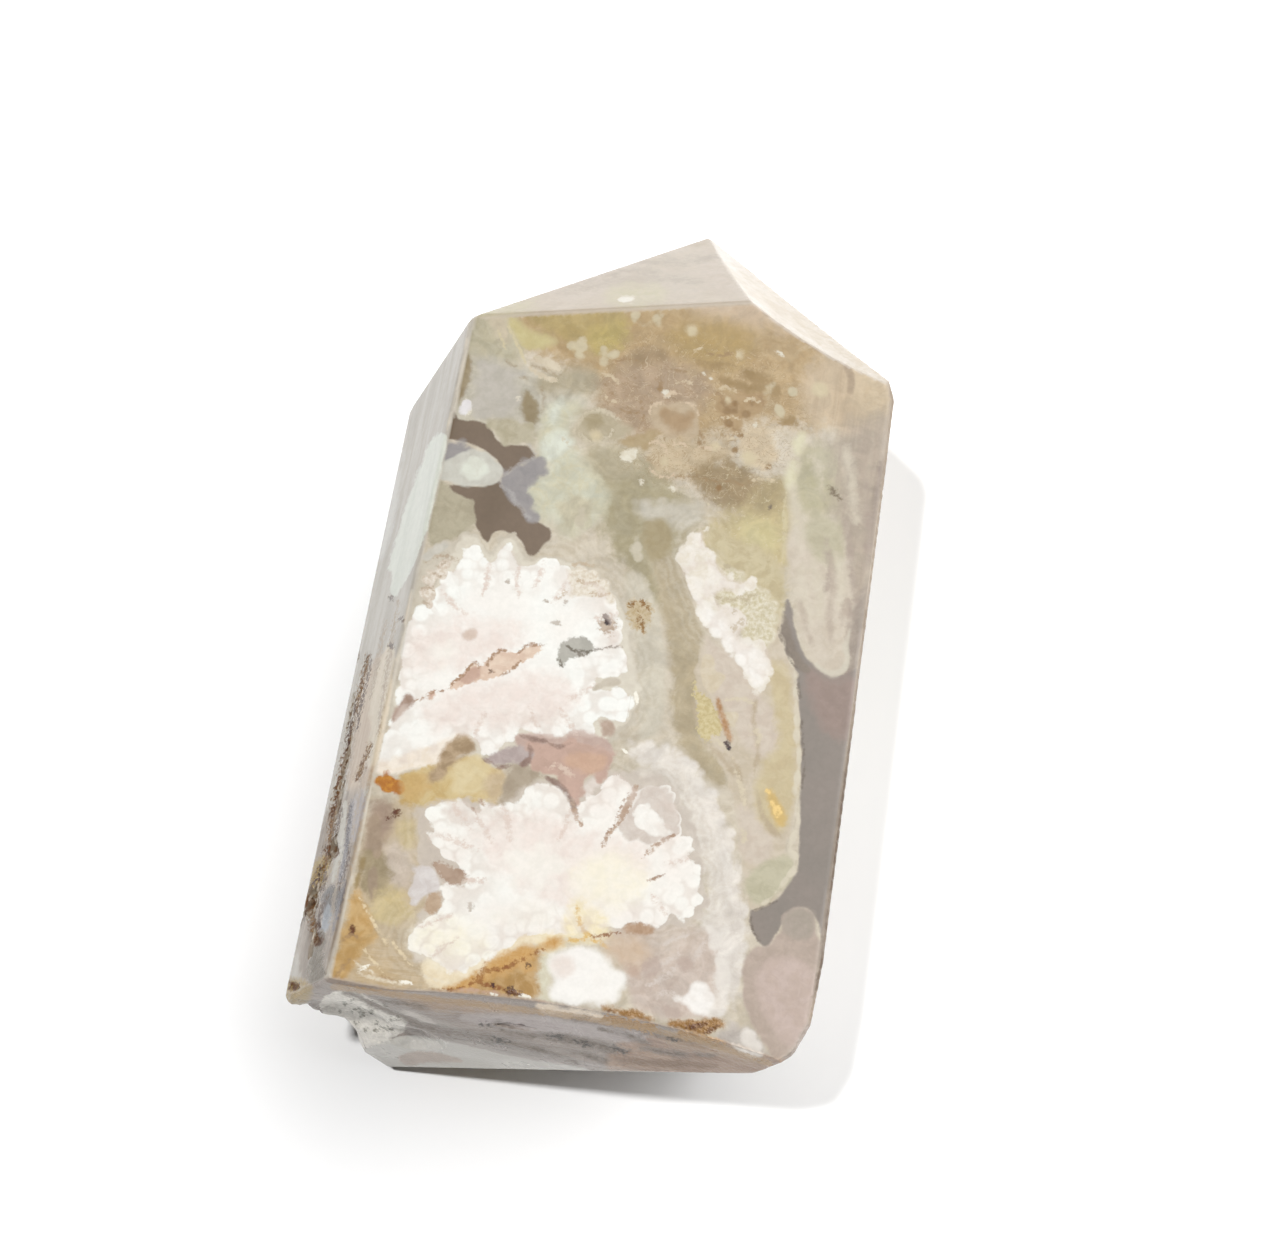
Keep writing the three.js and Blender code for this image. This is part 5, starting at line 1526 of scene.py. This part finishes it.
def layFolds(stone, colour):
    # fine dark and light folds, and pale flecks, where the stone is crowded
    tree, plain = stone["tree"], stone["patterns"]["plain"]

    def inside(zone):
        rim = grain[zone + "Rim"]
        return stretched(tree, pointValue(tree, stone["places"], zone), rim, -rim)

    if "wrinkled" in stone["zones"]:
        crowded = inside("wrinkled")
        noisy = addNode(tree, "ShaderNodeTexNoise", {"Vector": plain, **grain["folding"]})
        folds = noisy.outputs["Fac"]
        offset = mathValue(tree, "ADD", folds, grain["lightOffset"])
        for pattern, name in ((folds, "darkFolds"), (offset, "lightFolds")):
            kind = grain[name]
            colour = useGroup(
                tree, stone["groups"]["veins"],
                {
                    "Under": colour, "Pattern": pattern, "Width": kind["width"],
                    "Colour": pigment(kind["tone"]),
                    "Share": mathValue(tree, "MULTIPLY", crowded, kind["share"]),
                },
                name,
            ).outputs[0]
    flecks = noiseValue(tree, plain, *noises["flecks"][1:])
    share = grain["fleckShare"]
    if "flecked" in stone["zones"]:
        share = mathValue(tree, "MULTIPLY_ADD", inside("flecked"), grain["fleckedShare"], share)
    return blendColours(tree, mathValue(tree, "MULTIPLY", flecks, share), colour, pigment(grain["fleckTone"]))


def buildAgate(label, groups, places, near, zonesNear, banded, bloomed):
    material = bpy.data.materials.new(label)
    material.use_nodes = True
    tree = material.node_tree
    shader = tree.nodes["Principled BSDF"].inputs
    patterns, edges = buildPatterns(tree, places)
    faces = {name: pointValue(tree, places, name) for name in faceNames}
    stone = {
        "tree": tree, "groups": groups, "places": places, "patterns": patterns, "edges": edges,
        "faces": faces, "zones": zonesNear,
    }

    def chosen(marks):
        return {name: made for name, made in marks.items() if name in near}

    def laid(group, values, label):
        return useGroup(tree, groups[group], values, label).outputs[0]

    def shaded(colour, pattern, amount, label):
        return laid("shade", {"Colour": colour, "Pattern": patterns[pattern], "Amount": amount}, label)

    def onFront(share):
        return mathValue(tree, "MULTIPLY", faces["front"], share)

    def titled(start, name):
        return start + name[0].upper() + name[1:]

    colour = blendColours(tree, patterns["mottle"], pigment(grain["ground"]), pigment(grain["groundSecond"]))
    colour, worn = layMarks(stone, chosen(stains), colour, 0.0)
    colour = shaded(colour, "clouds", grain["cloud"], "clouds")
    colour = layFolds(stone, colour)
    for name in banded:
        colour = laid(
            "bands",
            {
                "Under": colour, "Distance": pointValue(tree, places, name), "Wander": edges["cloud"],
                "Spacing": grain["bandSpacing"], "Reach": grain["bandReach"],
                "Light": pigment(grain["bandLight"]), "Dark": pigment(grain["bandDark"]),
                "Share": onFront(grain["bandShare"]),
            },
            titled("bandsRound", name),
        )
    colour, worn = layMarks(stone, chosen(plumes), colour, worn)
    weaker = mathValue(tree, "MULTIPLY", patterns["rays"], 0.9)
    petalPattern = mathValue(tree, "MAXIMUM", patterns["lobes"], weaker)
    for name in bloomed:
        colour = laid(
            "petals",
            {
                "Under": colour, "Distance": pointValue(tree, places, name), "Pattern": petalPattern,
                "Reach": grain["petalReach"], "Colour": pigment(grain["petalTone"]),
                "Share": onFront(grain["petalShare"][name]),
            },
            titled("petalsOf", name),
        )
    colour, worn = layMarks(stone, chosen(sides), colour, worn)
    colour = shaded(colour, "finish", grain["fine"], "fineGrain")

    rough = laid(
        "wear",
        {
            "Smudges": patterns["broad"], "Polished": polish["roughness"], "Smudged": polish["smudged"],
            "Worn": worn, "Broken": polish["broken"],
        },
        "polishAndWear",
    )
    height = laid(
        "relief",
        {
            "Waves": noiseValue(tree, patterns["plain"], polish["waveSize"], 1.0),
            "Wave Height": polish["waveHeight"], "Grain": patterns["grain"],
            "Grain Height": polish["grainHeight"], "Worn": worn,
        },
        "surfaceRelief",
    )
    bump = addNode(tree, "ShaderNodeBump", {"Strength": 1.0, "Distance": mm, "Height": height})
    tree.links.new(colour, shader["Base Color"])
    tree.links.new(rough, shader["Roughness"])
    tree.links.new(bump.outputs["Normal"], shader["Normal"])
    shader["IOR"].default_value = polish["bend"]
    return material


def keepCrisp(mesh):
    # edges between the ground faces catch the light as edges, not as round corners
    work = bmesh.new()
    work.from_mesh(mesh)
    limit = math.radians(stoneShape["crispEdge"])
    for edge in work.edges:
        edge.smooth = edge.calc_face_angle(0.0) < limit
    work.to_mesh(mesh)
    work.free()


hollows = {
    "rim": 0.5,  # mm over which a hollow gets deep
    "ragged": 0.22,  # mm that its rim wanders
    "raggedSize": 1.7,  # per mm
    "unevenSize": 2.3,
}


def sinkHollows(mesh, marks, gaps, shares, outward):
    # broken places are real hollows in the stone, as deep as they say, with uneven rims
    points, rim = readPoints(mesh), hollows["rim"]
    for name, made in marks.items():
        if not made["deep"]:
            continue
        for i in np.flatnonzero((gaps[name] < rim) & (shares[made["on"]] > 0.5)):
            place = Vector(points[i]) / mm
            ragged = gaps[name][i] + hollows["ragged"] * noise.noise(place * hollows["raggedSize"])
            share = min(1.0, max(0.0, 0.5 - ragged / rim))
            uneven = 0.75 + 0.5 * noise.noise(place * hollows["unevenSize"])
            points[i] -= outward[i] * (made["deep"] * mm * share * uneven)
    writePoints(mesh, points)


stoneMesh = denseStone(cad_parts["agate_point"])
shares, seenPoint, outward = faceShares(stoneMesh)
spots = pictureSpots(readPoints(stoneMesh), seenPoint, outward)
allMarks = {**stains, **plumes, **sides}
gaps = markingGaps(spots, allMarks)
crowding = {name: outlineGap(spots, text) for name, text in zones.items()}
places = {
    **storeThrees(stoneMesh, "faces", {name: shares[name] for name in faceNames}),
    **storeThrees(stoneMesh, "marks", gaps),
    **mapRays(stoneMesh, spots),
    **storeThrees(stoneMesh, "zones", crowding),
}
print("markings laid out:", len(allMarks))
soften(stoneMesh, stoneShape["softenRounds"])
sinkHollows(stoneMesh, allMarks, gaps, shares, outward)
print("hollows sunk")

groups = {
    "marking": buildMarkingGroup(), "shade": buildShadeGroup(), "veins": buildVeinGroup(),
    "bands": buildBandGroup(), "petals": buildPetalGroup(), "wear": buildWearGroup(),
    "relief": buildReliefGroup(),
}
for number, patch in enumerate(cutPatches(stoneMesh, spots)):
    near = marksReaching(patch, allMarks, gaps, shares)
    zonesNear = [name for name in zones if crowding[name][patch].min() < patches["zoneReach"]]
    banded = [name for name in grain["petalShare"] if gaps[name][patch].min() < grain["bandReach"]]
    bloomed = [name for name in banded if gaps[name][patch].min() < 0.0]
    stoneMesh.materials.append(
        buildAgate(f"flowerAgate{number + 1}", groups, places, near, zonesNear, banded, bloomed)
    )
    print("agate finish", number + 1, "made with", len(near), "markings")

stone = bpy.data.objects.new("agateBody", stoneMesh)
bpy.context.scene.collection.objects.link(stone)
stoneMesh.polygons.foreach_set("use_smooth", np.ones(len(stoneMesh.polygons), bool))
keepCrisp(stoneMesh)

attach(stone, "root")
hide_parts("agate_point")
